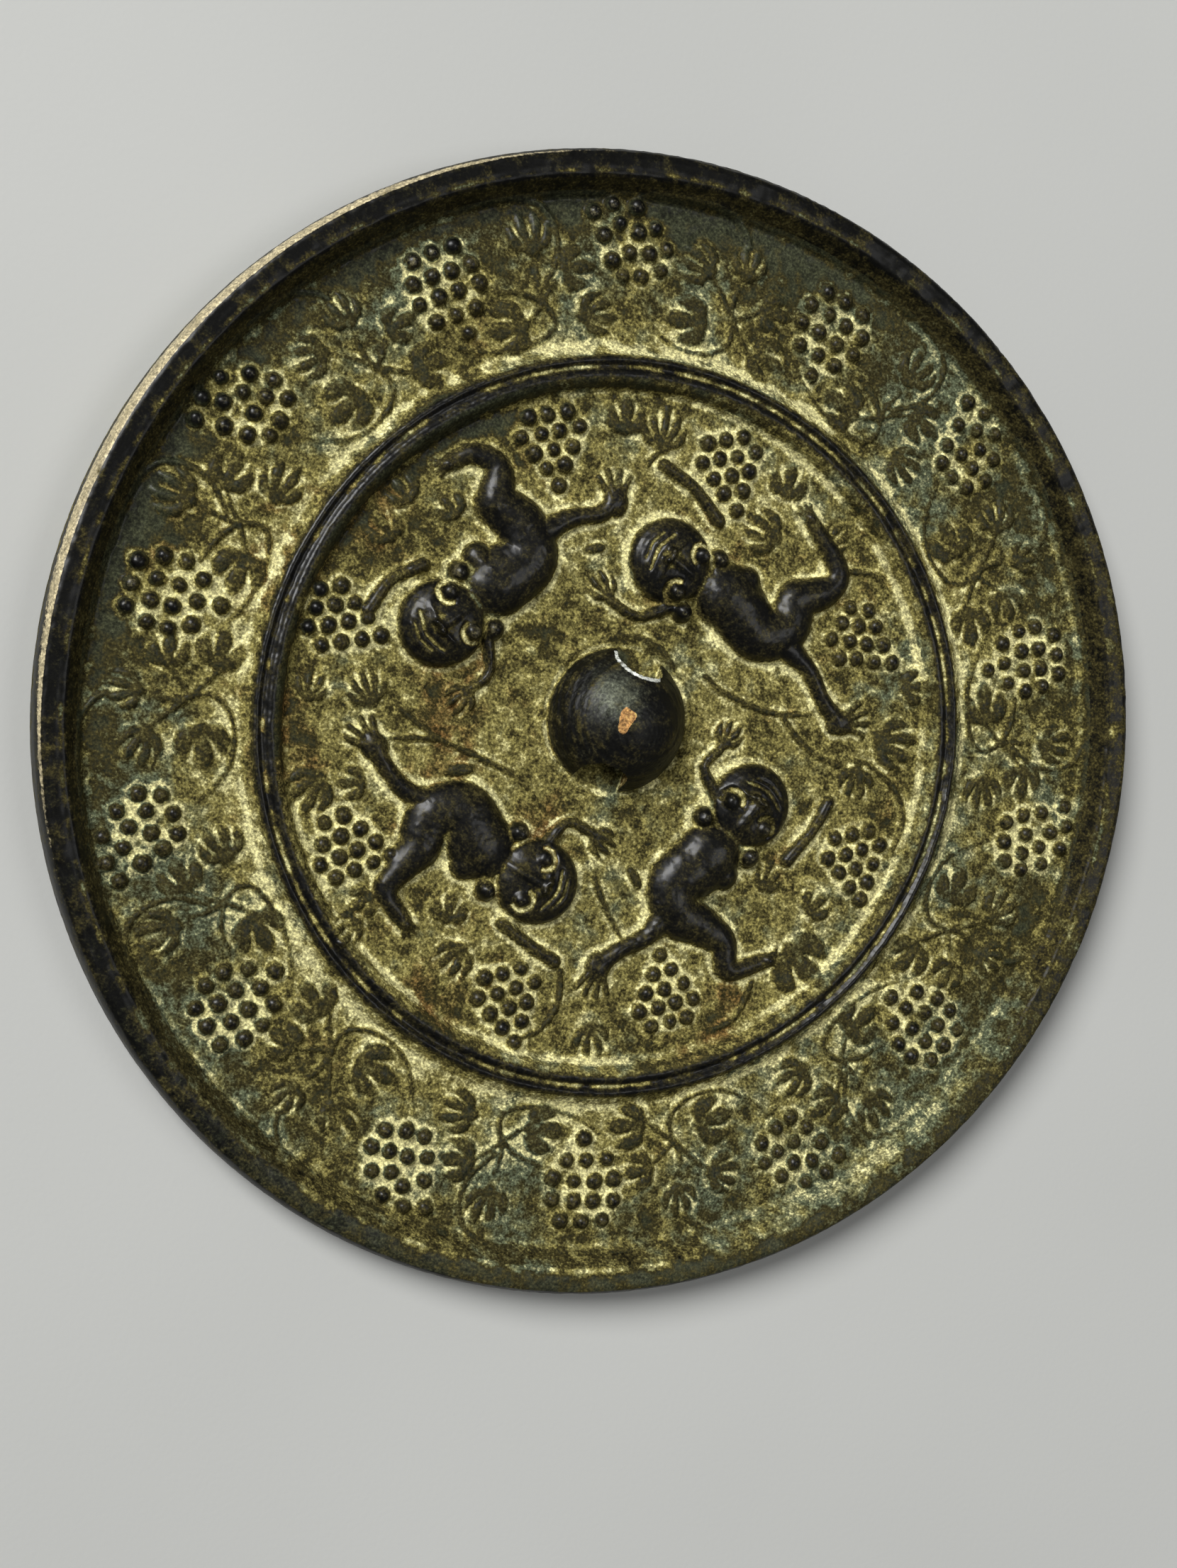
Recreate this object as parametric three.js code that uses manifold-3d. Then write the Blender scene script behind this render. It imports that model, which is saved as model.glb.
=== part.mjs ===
// Cast bronze mirror of the beast-and-grape kind, lying with its carved back up.
// Millimetres, +Z up. The polished face is the plane Z = 0 and the disc's axis is the Z axis.
// The cord hole through the knob runs along Y.
import * as THREE from 'three';
import { mergeVertices } from 'three/addons/utils/BufferGeometryUtils.js';
import Module from 'manifold-3d';

const wasm = await Module();
wasm.setup();

// Driving dimensions of the disc.
const RADIUS = 70;
const RIM_TOP = 6.5;
const RIM_CREST = 66.5;
const RING_RADIUS = 44;
const RING_TOP = 5.1;
const OUTER_FIELD = 3.2;
const INNER_FIELD = 3.0;
const OUTER_FIELD_EDGE = 64.4;
const DISC_SIDES = 56;

// The knob is part of a ball, with an arched hole for the cord.
const KNOB = { x: -0.7, y: 1.0, ball: 9.3, centreZ: 0.7, sides: 24, rings: 6 };
const HOLE = { halfWidth: 3.2, springing: 5.6, crown: 8.0, length: 30 };

// Heights of the relief above its field.
const SINK = 0.5;
const GRAPE = { radius: 1.0, height: 1.2, sides: 4, pitch: 2.5, column: 2.1 };
const LEAF_HEIGHT = 0.75;
const STEM = { width: 0.9, height: 0.55 };

// The border repeats seven times, with two bunches and two sprays of leaves in each repeat.
const REPEATS = 7;
const STEP = 360 / REPEATS;
const OUTWARD_BUNCH = { at: 5.3, centre: 59.4 };
const INWARD_BUNCH = { at: 28.9, centre: 56.9 };
const SPRAY_A_AT = 17.0;
const SPRAY_B_AT = 41.8;
const SPRAY_NODE = 52.3;

// Rows of a bunch: how far each lies out from the bunch's centre, its grapes, its slant in degrees.
const OUTWARD_ROWS = [
  { out: 4.0, count: 3, shift: 2.2 },
  { out: 1.6, count: 3, shift: -0.9 },
  { out: -0.8, count: 4, shift: -0.6 },
  { out: -2.8, count: 2, shift: -0.6 },
  { out: -4.2, count: 2, shift: 0.2 },
];
const INWARD_ROWS = [
  { out: 4.0, count: 3, shift: 0.1 },
  { out: 1.6, count: 4, shift: 0 },
  { out: -0.9, count: 4, shift: 0 },
  { out: -3.5, count: 3, shift: 0 },
  { out: -6.1, count: 1, shift: -0.4 },
];

// Leaves of a spray: turn from the crossing, distance out, pointing from straight out, length, fingers.
const SPRAY_LEAVES_A = [
  [0, 58.6, 0, 4.6, 4],
  [-4.2, 56.0, -85, 4.0, 3],
  [-5.4, 50.4, -85, 4.4, 3],
  [4.2, 50.2, 90, 4.6, 3],
];
const SPRAY_LEAVES_B = [
  [-0.4, 58.2, 5, 3.6, 4],
  [4.6, 57.2, 70, 4.2, 3],
  [4.6, 50.8, 95, 4.4, 3],
  [-4.6, 55.2, -90, 3.6, 3],
  [-5.0, 49.6, -95, 4.2, 3],
];

// The arched stem from a crossing to the next bunch: turn from the crossing, distance out.
const ARCH_A = [[0, SPRAY_NODE], [-1, 49.6], [2, 47.9], [7.5, 47.8], [13.5, 50.2]];
const ARCH_B = [[0, SPRAY_NODE], [-0.2, 49.6], [3, 47.6], [9, 48.2], [14, 53]];

// Each beast is placed by the place of its head and the azimuth of its arched back.
// look is the way the muzzle points.
const BEASTS = [
  { headAt: 169.7, headOut: 25.8, look: 232, backAt: 137.6, backOut: 23.7 },
  { headAt: 92.4, headOut: 21.6, look: 163, backAt: 51.2, backOut: 22.2 },
  { headAt: -9.9, headOut: 19.8, look: 70, backAt: -52, backOut: 21.0 },
  { headAt: 259.4, headOut: 21.3, look: -11, backAt: 226, backOut: 22.3 },
];
const HEAD = {
  length: 5.3, width: 4.9, height: 3.3,
  noseForward: 0.6, noseWidth: 1.7, noseHeight: 4.0,
  eyeBack: 2.1, eyeOut: 2.9, eyeWidth: 1.4, eyeHeight: 3.5,
  earBack: 4.4, earOut: 4.0, earWidth: 1.4, earHeight: 1.9,
  neckBack: 3.2,
};

// A beast's limbs: widths and heights along each ridge, and how far out from the disc's axis they reach.
const TRUNK = { widths: [6.0, 6.8, 5.2, 4.6, 3.8], heights: [2.4, 2.6, 2.2, 1.9, 1.6] };
const HIND_LEG = { widths: [3.8, 2.6, 2.0, 1.3], heights: [1.7, 1.4, 1.1, 0.7], heel: 36.8, foot: 36.4 };
const TAIL = { widths: [1.6, 1.2, 1.4], heights: [1.2, 0.9, 0.9], tuft: 31.4, tuftLength: 4.4 };
const FORELEG = { widths: [1.7, 1.7], heights: [1.0, 0.8], beyondHead: 8 };
const PAW = { insideHead: 5.4, ahead: 21, length: 3.6 };

// Bunches in the inner field: place, and the turn of their narrow side from -X.
const INNER_BUNCHES = [
  { x: -20.1, y: 30.2, turn: 0 },
  { x: 2.4, y: 35.7, turn: 0 },
  { x: 26.2, y: 21.7, turn: 45 },
  { x: 35.6, y: -4.8, turn: 0 },
  { x: 17.3, y: -29.6, turn: 180 },
  { x: -2.4, y: -35.3, turn: 0 },
  { x: -27.3, y: -24.4, turn: 70 },
  { x: -37.4, y: 0.9, turn: 60 },
];

// Leaves in the inner field: distance out, azimuth, the way the fingers point, length.
const INNER_LEAVES = [
  [35.6, 101, 100, 4.2],
  [36.8, 108.5, 105, 3.6],
  [36.6, 73, 95, 3.4],
  [30.6, 71, 180, 4.2],
  [36.4, 59, 60, 3.2],
  [39.0, 27, 30, 3.4],
  [36.2, 16.6, 5, 4.4],
  [33.2, 8, -80, 3.6],
  [34.4, -22.5, 60, 3.0],
  [27.6, -26.5, 70, 2.8],
  [37.4, -31.4, -25, 5.0],
  [37.6, -76, -60, 3.6],
  [30.6, 244.5, 95, 3.4],
  [33.8, 253, 250, 3.6],
  [37.6, 208.5, 250, 4.2],
  [32.6, 210.5, 200, 2.8],
  [31.2, 193, 130, 3.8],
  [38.2, 193.5, 90, 3.0],
  [36.4, 161, 140, 2.8],
  [38.0, 153.5, 150, 2.8],
];

const radians = THREE.MathUtils.degToRad;

function polar(out, azimuth) {
  const angle = radians(azimuth);
  return new THREE.Vector2(out * Math.cos(angle), out * Math.sin(angle));
}

function toSolid(geometry) {
  const bare = geometry.clone();
  bare.deleteAttribute('normal');
  bare.deleteAttribute('uv');
  const merged = mergeVertices(bare, 1e-4);
  return new wasm.Manifold(new wasm.Mesh({
    numProp: 3,
    vertProperties: new Float32Array(merged.attributes.position.array),
    triVerts: new Uint32Array(merged.index.array),
  }));
}

function toGeometry(solid) {
  const mesh = solid.getMesh();
  const geometry = new THREE.BufferGeometry();
  geometry.setAttribute('position', new THREE.BufferAttribute(mesh.vertProperties, 3));
  geometry.setIndex(new THREE.BufferAttribute(mesh.triVerts, 1));
  geometry.computeVertexNormals();
  return geometry;
}

// A lathe turned about Z, from (radius, height) pairs that start and end on the axis.
function turned(profile, sides) {
  const points = profile.map(([radius, height]) => new THREE.Vector2(radius, height));
  const geometry = new THREE.LatheGeometry(points, sides);
  return geometry.rotateX(Math.PI / 2);
}

// A low oval dome standing on a field, its foot sunk below the surface.
function dome({ x, y, length, width, height, turn = 0, base, sides = 6, rings = 1 }) {
  const profile = [[0, -SINK], [1, -SINK]];
  for (let ring = 1; ring <= rings; ring += 1) {
    const rise = (ring / (rings + 1)) * (Math.PI / 2);
    profile.push([Math.cos(rise), height * Math.sin(rise)]);
  }
  profile.push([0, height]);
  const geometry = turned(profile, sides);
  geometry.scale(length, width, 1);
  geometry.rotateZ(radians(turn));
  geometry.translate(x, y, base);
  return geometry;
}

function blendAlong(values, t) {
  const place = t * (values.length - 1);
  const index = Math.min(Math.floor(place), values.length - 2);
  return THREE.MathUtils.lerp(values[index], values[index + 1], place - index);
}

// A rounded ridge bent along a smooth line, with its width and height given along the way.
function ridge(line, widths, heights, base, { sides = 6, steps = 8 } = {}) {
  const curve = new THREE.CatmullRomCurve3(line.map((p) => new THREE.Vector3(p.x, p.y, 0)));
  const geometry = new THREE.CylinderGeometry(1, 1, 1, sides, steps);
  const position = geometry.attributes.position;
  const point = new THREE.Vector3();
  for (let index = 0; index < position.count; index += 1) {
    point.fromBufferAttribute(position, index);
    const t = THREE.MathUtils.clamp(0.5 - point.y, 0, 1);
    const centre = curve.getPoint(t);
    const along = curve.getTangent(t);
    const raised = point.z > 0.1;
    const across = point.x * (blendAlong(widths, t) / 2) * (raised ? 0.9 : 1.15);
    const lift = raised ? point.z * blendAlong(heights, t) : SINK * (point.z - 1) / 2;
    position.setXYZ(index, centre.x - along.y * across, centre.y + along.x * across, base + lift);
  }
  return geometry;
}

// A leaf with pointed fingers spread from its palm, as a cone over a lobed outline.
function leaf(place, pointing, length, base, fingers = 3, spread = 110) {
  const rim = [];
  for (let finger = 0; finger < fingers; finger += 1) {
    const side = fingers > 1 ? (2 * finger) / (fingers - 1) - 1 : 0;
    const turn = pointing + (side * spread) / 2;
    if (finger > 0) {
      rim.push([length * 0.45, turn - spread / (fingers - 1) / 2]);
    }
    rim.push([length * (1 - 0.2 * side * side), turn]);
  }
  rim.push([length * 0.4, pointing + 140], [length * 0.4, pointing + 220]);
  const geometry = new THREE.ConeGeometry(1, 1, rim.length, 1);
  geometry.rotateX(Math.PI / 2);
  const position = geometry.attributes.position;
  for (let index = 0; index < position.count; index += 1) {
    const x = position.getX(index);
    const y = position.getY(index);
    const low = position.getZ(index) < 0;
    let foot = new THREE.Vector2();
    if (Math.hypot(x, y) > 0.5) {
      const turn = Math.atan2(x, -y) / (2 * Math.PI);
      const corner = Math.round(turn * rim.length + rim.length) % rim.length;
      foot = polar(...rim[corner]);
    }
    position.setXYZ(index, place.x + foot.x, place.y + foot.y, base + (low ? -SINK / 2 : LEAF_HEIGHT));
  }
  return geometry;
}

function grape(x, y, base) {
  const geometry = new THREE.ConeGeometry(GRAPE.radius * 1.3, GRAPE.height + SINK, GRAPE.sides);
  geometry.rotateX(Math.PI / 2);
  geometry.translate(x, y, base + (GRAPE.height - SINK) / 2);
  return geometry;
}

// Grapes in staggered columns of 2, 3, 4 and 4, the narrow column on the -X side before the turn.
function innerBunch({ x, y, turn }) {
  const columns = [2, 3, 4, 4];
  const grapes = [];
  columns.forEach((count, column) => {
    for (let row = 0; row < count; row += 1) {
      const stagger = column === 3 ? -1.2 : 0;
      const across = (column - 1.7) * GRAPE.column;
      const along = (row - (count - 1) / 2) * GRAPE.pitch + stagger;
      const place = new THREE.Vector2(across, along).rotateAround(new THREE.Vector2(), radians(turn));
      grapes.push(grape(x + place.x, y + place.y, INNER_FIELD));
    }
  });
  return grapes;
}

// Rows of grapes across the border: how far out each row is, how many, and its slant in degrees.
function borderBunch(azimuth, rows) {
  const grapes = [];
  rows.forEach(({ out, count, shift }) => {
    for (let index = 0; index < count; index += 1) {
      const spacing = (GRAPE.pitch / out) * (180 / Math.PI);
      const place = polar(out, azimuth + shift + (index - (count - 1) / 2) * spacing);
      grapes.push(grape(place.x, place.y, OUTER_FIELD));
    }
  });
  return grapes;
}

function rowsAbout(centre, rows) {
  return rows.map(({ out, count, shift }) => ({ out: centre + out, count, shift }));
}

// One spray: leaves about a crossing of stems, and the arch from which the next bunch hangs.
function spray(crossing, leaves, arch) {
  const parts = leaves.map(([turn, out, pointing, length, fingers]) => {
    const azimuth = crossing + turn;
    return leaf(polar(out, azimuth), azimuth + pointing, length, OUTER_FIELD, fingers);
  });
  const line = arch.map(([turn, out]) => polar(out, crossing + turn));
  const width = [STEM.width, STEM.width, STEM.width * 0.6];
  const height = [STEM.height, STEM.height, STEM.height * 0.6];
  parts.push(ridge(line, width, height, OUTER_FIELD, { sides: 4, steps: 5 }));
  return parts;
}

function border() {
  const parts = [];
  for (let repeat = 0; repeat < REPEATS; repeat += 1) {
    const start = repeat * STEP;
    parts.push(...borderBunch(start + OUTWARD_BUNCH.at, rowsAbout(OUTWARD_BUNCH.centre, OUTWARD_ROWS)));
    parts.push(...borderBunch(start + INWARD_BUNCH.at, rowsAbout(INWARD_BUNCH.centre, INWARD_ROWS)));
    parts.push(...spray(start + SPRAY_A_AT, SPRAY_LEAVES_A, ARCH_A));
    parts.push(...spray(start + SPRAY_B_AT, SPRAY_LEAVES_B, ARCH_B));
  }
  return parts;
}

function beast({ headAt, headOut, look, backAt, backOut }) {
  const base = INNER_FIELD;
  const head = polar(headOut, headAt);
  const muzzle = polar(1, look);
  const side = polar(1, look + 90);
  const onHead = (forward, across) => head.clone()
    .addScaledVector(muzzle, forward)
    .addScaledVector(side, across);
  const skull = { length: HEAD.length, width: HEAD.width, height: HEAD.height, sides: 10, rings: 2 };
  const parts = [
    dome({ ...xy(head), ...skull, turn: look, base }),
    dome({ ...xy(onHead(HEAD.noseForward, 0)), ...round(HEAD.noseWidth, HEAD.noseHeight), base }),
  ];
  for (const across of [-1, 1]) {
    const eye = onHead(-HEAD.eyeBack, across * HEAD.eyeOut);
    const ear = onHead(-HEAD.earBack, across * HEAD.earOut);
    parts.push(dome({ ...xy(eye), ...round(HEAD.eyeWidth, HEAD.eyeHeight), base }));
    parts.push(dome({ ...xy(ear), ...round(HEAD.earWidth, HEAD.earHeight), base, sides: 5 }));
  }
  const neck = onHead(-HEAD.neckBack, 0);
  const back = polar(backOut, backAt);
  const shoulder = neck.clone().lerp(back, 0.5).addScaledVector(polar(1, backAt), 0.6);
  const haunch = polar(backOut + 6.4, backAt + 3.4);
  const knee = polar(backOut + 11.4, backAt + 3);
  const trunk = [neck, shoulder, back, polar(backOut + 2.6, backAt - 4), haunch];
  parts.push(ridge(trunk, TRUNK.widths, TRUNK.heights, base, { steps: 8 }));
  const leg = [haunch, knee, polar(HIND_LEG.heel, backAt + 7), polar(HIND_LEG.foot, backAt + 13)];
  parts.push(ridge(leg, HIND_LEG.widths, HIND_LEG.heights, base, { steps: 5 }));
  const tuft = polar(TAIL.tuft, backAt - 26.5);
  const tail = [polar(backOut + 3, backAt - 6.8), polar(27, backAt - 15), tuft];
  parts.push(ridge(tail, TAIL.widths, TAIL.heights, base, { sides: 4, steps: 5 }));
  parts.push(leaf(tuft, backAt + 20, TAIL.tuftLength, base, 4));
  const reach = headOut + FORELEG.beyondHead;
  const foreleg = [polar(reach, headAt - 8), polar(reach, headAt + 10)];
  parts.push(ridge(foreleg, FORELEG.widths, FORELEG.heights, base, { steps: 2 }));
  parts.push(leaf(polar(headOut - PAW.insideHead, headAt + PAW.ahead), headAt + 90, PAW.length, base, 3));
  return parts;
}

function xy(point) {
  return { x: point.x, y: point.y };
}

function round(width, height) {
  return { length: width, width, height };
}

function disc() {
  return toSolid(turned([
    [0, 0],
    [RADIUS - 1, 0],
    [RADIUS, 1.2],
    [RADIUS, 3.1],
    [RADIUS - 0.9, RIM_TOP - 0.2],
    [RADIUS - 1.4, RIM_TOP],
    [RIM_CREST, RIM_TOP],
    [OUTER_FIELD_EDGE + 0.4, OUTER_FIELD + 0.6],
    [OUTER_FIELD_EDGE, OUTER_FIELD],
    [RING_RADIUS + 2.6, OUTER_FIELD],
    [RING_RADIUS + 1.2, RING_TOP - 0.1],
    [RING_RADIUS + 0.8, RING_TOP],
    [RING_RADIUS, RING_TOP - 0.4],
    [RING_RADIUS - 0.8, RING_TOP],
    [RING_RADIUS - 1.5, RING_TOP - 0.3],
    [RING_RADIUS - 2.7, INNER_FIELD],
    [0, INNER_FIELD],
  ], DISC_SIDES));
}

function knob() {
  const foot = INNER_FIELD - SINK;
  const profile = [[0, foot]];
  const startRise = Math.asin((foot - KNOB.centreZ) / KNOB.ball);
  for (let ring = 0; ring < KNOB.rings; ring += 1) {
    const rise = THREE.MathUtils.lerp(startRise, Math.PI / 2, ring / KNOB.rings);
    profile.push([KNOB.ball * Math.cos(rise), KNOB.centreZ + KNOB.ball * Math.sin(rise)]);
  }
  profile.push([0, KNOB.centreZ + KNOB.ball]);
  const ball = toSolid(turned(profile, KNOB.sides));
  const arch = new THREE.Shape();
  arch.moveTo(-HOLE.halfWidth, 0);
  arch.lineTo(HOLE.halfWidth, 0);
  arch.lineTo(HOLE.halfWidth, HOLE.springing);
  arch.absellipse(0, HOLE.springing, HOLE.halfWidth, HOLE.crown - HOLE.springing, 0, Math.PI);
  arch.closePath();
  const tunnel = new THREE.ExtrudeGeometry(arch, {
    depth: HOLE.length,
    bevelEnabled: false,
    curveSegments: 6,
  });
  tunnel.rotateX(Math.PI / 2);
  tunnel.translate(0, HOLE.length / 2, 0);
  const hole = toSolid(tunnel);
  return ball.subtract(hole).translate([KNOB.x, KNOB.y, 0]);
}

function mirror() {
  const relief = [...border()];
  INNER_BUNCHES.forEach((bunch) => relief.push(...innerBunch(bunch)));
  INNER_LEAVES.forEach(([out, azimuth, pointing, length]) => {
    relief.push(leaf(polar(out, azimuth), pointing, length, INNER_FIELD));
  });
  BEASTS.forEach((one) => relief.push(...beast(one)));
  return wasm.Manifold.union([disc(), knob(), ...relief.map(toSolid)]);
}

const bronze = new THREE.MeshStandardMaterial({ color: 0x4a4a38, roughness: 0.6, metalness: 0.7 });
const cast = new THREE.Mesh(toGeometry(mirror()), bronze);
cast.name = 'mirror';

const group = new THREE.Group();
group.add(cast);

export default group;
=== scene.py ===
# An ancient cast bronze mirror lying on pale paper, carved back up.
# All sizes of the carving are in millimetres; meshes are scaled to metres when they are made.
import math

import bpy
import numpy as np
from mathutils import Matrix, Vector


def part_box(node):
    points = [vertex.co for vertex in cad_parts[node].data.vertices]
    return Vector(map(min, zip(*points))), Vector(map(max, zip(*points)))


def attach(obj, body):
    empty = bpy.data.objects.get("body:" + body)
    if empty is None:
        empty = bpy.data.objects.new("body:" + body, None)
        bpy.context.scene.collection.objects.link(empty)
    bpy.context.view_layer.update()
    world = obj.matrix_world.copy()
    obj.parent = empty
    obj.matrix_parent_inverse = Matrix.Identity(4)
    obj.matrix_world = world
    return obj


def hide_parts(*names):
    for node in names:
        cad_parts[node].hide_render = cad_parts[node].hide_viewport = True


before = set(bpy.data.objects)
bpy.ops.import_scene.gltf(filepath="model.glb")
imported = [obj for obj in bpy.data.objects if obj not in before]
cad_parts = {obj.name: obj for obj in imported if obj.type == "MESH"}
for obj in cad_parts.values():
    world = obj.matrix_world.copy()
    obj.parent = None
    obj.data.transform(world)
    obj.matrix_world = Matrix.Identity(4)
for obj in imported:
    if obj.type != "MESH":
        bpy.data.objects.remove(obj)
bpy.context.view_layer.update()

# ---------------------------------------------------------------- driving sizes

MM = 0.001
LOW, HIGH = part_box("mirror")
RADIUS = (HIGH.x - LOW.x) / 2 / MM
CREST = HIGH.z / MM
BODY = "root"

# Heights are from the polished face, distances from the axis.
RIM_TOP = 6.5
RIM_CREST = 66.5
FIELD_EDGE = 64.4
OUTER_FIELD = 3.2
INNER_FIELD = 3.0
RING = 44.0
RING_TOP = 5.1
RING_FOOT_OUT = 46.8
RING_FOOT_IN = 41.2

# The knob is part of a ball, cast a little off the axis and bored through along Y by an arch.
KNOB_X, KNOB_Y = -0.7, 1.0
KNOB_BALL = 9.3
KNOB_CENTRE_Z = CREST - KNOB_BALL
KNOB_FOOT = math.sqrt(KNOB_BALL ** 2 - (INNER_FIELD - KNOB_CENTRE_Z) ** 2)
KNOB_FOOT_LINE = 9.6
HOLE_HALF = 3.0
HOLE_SPRING = 5.3
HOLE_CROWN = 7.8

rng = np.random.default_rng(7)


def polar(out, azimuth):
    """The place at a distance and an azimuth in degrees."""
    angle = math.radians(azimuth)
    return np.array([out * math.cos(angle), out * math.sin(angle)])


def smoothstep(low, high, value):
    """An eased step from 0 at low to 1 at high, which may also run downward."""
    t = np.clip((value - low) / (high - low), 0.0, 1.0)
    return t * t * (3 - 2 * t)


def near(distance, reach):
    """1 at no distance, falling away like a bell over the reach."""
    return np.exp(-(distance / reach) ** 2)


# ---------------------------------------------------------------- the relief as a map of heights

MAP_HALF = 71.0
MAP_STEP = 0.1
MAP_SIZE = int(round(2 * MAP_HALF / MAP_STEP)) + 1


def blurred(field, reach):
    """Three box blurs, which come close to a bell curve of the given reach in millimetres."""
    size = max(1, int(round(reach / MAP_STEP)))
    span = 2 * size + 1
    for _ in range(3):
        for axis in (0, 1):
            margins = [(0, 0), (0, 0)]
            margins[axis] = (size + 1, size)
            total = np.cumsum(np.pad(field, margins, mode="edge"), axis, dtype=np.float64)
            upper = np.take(total, range(span, total.shape[axis]), axis)
            lower = np.take(total, range(0, total.shape[axis] - span), axis)
            field = ((upper - lower) / span).astype(np.float32)
    return field


def rough(reach):
    """Random ups and downs of the given reach, with a spread of one."""
    field = blurred(rng.standard_normal((MAP_SIZE, MAP_SIZE)).astype(np.float32), reach)
    return field / field.std()


class Relief:
    """Heights above the field over the whole back, and where the cuts are packed with earth."""

    def __init__(self):
        self.height = np.zeros((MAP_SIZE, MAP_SIZE), np.float32)
        self.packed = np.zeros((MAP_SIZE, MAP_SIZE), np.float32)

    @staticmethod
    def window(x0, x1, y0, y1):
        """The part of the maps inside a box, with the places of its points."""
        first = [int(np.clip((v + MAP_HALF) / MAP_STEP, 0, MAP_SIZE - 1)) for v in (x0, y0)]
        last = [int(np.clip((v + MAP_HALF) / MAP_STEP + 2, 1, MAP_SIZE)) for v in (x1, y1)]
        xs = np.arange(first[0], last[0]) * MAP_STEP - MAP_HALF
        ys = np.arange(first[1], last[1]) * MAP_STEP - MAP_HALF
        part = (slice(first[1], last[1]), slice(first[0], last[0]))
        return part, *np.meshgrid(xs, ys)

    def dome(self, at, length, width, height, turn=0.0, power=0.5, over=0.0):
        """An oval dome on a base of height over. power 0.5 is a ball's round, 1 a softer mound."""
        reach = max(length, width)
        part, x, y = self.window(at[0] - reach, at[0] + reach, at[1] - reach, at[1] + reach)
        forward = polar(1, turn)
        u = (x - at[0]) * forward[0] + (y - at[1]) * forward[1]
        v = (y - at[1]) * forward[0] - (x - at[0]) * forward[1]
        inside = np.clip(1 - (u / length) ** 2 - (v / width) ** 2, 0, 1)
        lifted = np.where(inside > 0, over + height * inside ** power, 0)
        self.raise_to(part, lifted)

    def raise_to(self, part, lifted):
        """What stands over a packed groove buries it."""
        covered = lifted > self.height[part] + 0.05
        self.packed[part][covered] = 0
        np.maximum(self.height[part], lifted, out=self.height[part])

    def groove(self, line, width, depth, packed=1.0):
        """A cut line, packed with earth."""
        self.stroke(line, [width * 0.7, width, width * 0.7], [-depth] * 3, 0.8, True, packed)

    def stroke(self, line, widths, heights, power=0.6, add=False, packed=0.0):
        """A ridge along a smooth line; added to what is there, or a cut where heights are less than 0."""
        points = smooth_line(line)
        share = np.linspace(0, 1, len(points))
        half = np.interp(share, np.linspace(0, 1, len(widths)), widths) / 2
        tall = np.interp(share, np.linspace(0, 1, len(heights)), heights)
        reach = half.max()
        low, high = points.min(0) - reach, points.max(0) + reach
        place, x, y = self.window(low[0], high[0], low[1], high[1])
        best = np.zeros(x.shape, np.float32)
        for index in range(len(points) - 1):
            start, end = points[index], points[index + 1]
            step = end - start
            length = max(float(step @ step), 1e-9)
            cols = slice(*grid_span(x[0], min(start[0], end[0]) - reach, max(start[0], end[0]) + reach))
            rows = slice(*grid_span(y[:, 0], min(start[1], end[1]) - reach, max(start[1], end[1]) + reach))
            dx, dy = x[rows, cols] - start[0], y[rows, cols] - start[1]
            t = np.clip((dx * step[0] + dy * step[1]) / length, 0, 1)
            apart = (dx - t * step[0]) ** 2 + (dy - t * step[1]) ** 2
            wide = half[index] + t * (half[index + 1] - half[index])
            high_here = tall[index] + t * (tall[index + 1] - tall[index])
            lifted = high_here * np.clip(1 - apart / wide ** 2, 0, 1) ** power
            part = best[rows, cols]
            chosen = np.abs(lifted) > np.abs(part)
            part[chosen] = lifted[chosen]
        if not add:
            self.raise_to(place, best)
            return
        self.height[place] += best
        if packed:
            filled = packed * smoothstep(0.1, 0.75, best / tall.min())
            np.maximum(self.packed[place], filled, out=self.packed[place])


def grid_span(values, low, high):
    """First and last index of the evenly rising values between two bounds."""
    return int(np.searchsorted(values, low)), int(np.searchsorted(values, high))


def smooth_line(line, spacing=0.35):
    """Points along a Catmull-Rom curve through the line's points."""
    points = np.array(line, float)
    if len(points) == 2:
        count = max(2, int(np.linalg.norm(points[1] - points[0]) / spacing))
        return points[0] + np.linspace(0, 1, count)[:, None] * (points[1] - points[0])
    ends = np.vstack([2 * points[0] - points[1], points, 2 * points[-1] - points[-2]])
    pieces = []
    for index in range(1, len(ends) - 2):
        a, b, c, d = ends[index - 1:index + 3]
        count = max(2, int(np.linalg.norm(c - b) / spacing))
        t = np.linspace(0, 1, count, endpoint=False)[:, None]
        pieces.append(0.5 * (2 * b + (c - a) * t + (2 * a - 5 * b + 4 * c - d) * t ** 2
                             + (3 * b - a - 3 * c + d) * t ** 3))
    return np.vstack(pieces + [points[-1:]])


# ---------------------------------------------------------------- grapes, leaves and stems

GRAPE = 1.05
GRAPE_HEIGHT = 1.2
GRAPE_STEP = 2.6
CROSSING = 52.3

# Grapes of a bunch that points outward: degrees along, millimetres out.
OUTWARD_BUNCH = [
    (4.7, 62.6), (2.4, 63.5), (-0.3, 63.3), (1.4, 61.3), (-2.7, 61.2), (-0.7, 60.3), (3.4, 59.7),
    (0.3, 57.9), (-2.1, 58.0), (-4.2, 58.7), (2.6, 56.9), (1.1, 54.9), (-1.3, 55.1), (-3.7, 56.1),
]
# Rows of a bunch that points inward: millimetres out, grapes, and a shift in degrees.
INWARD_ROWS = [(61.0, 3, 0.1), (58.5, 4, 0.0), (56.0, 4, 0.0), (53.4, 3, 0.1), (50.8, 1, -0.5)]

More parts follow.
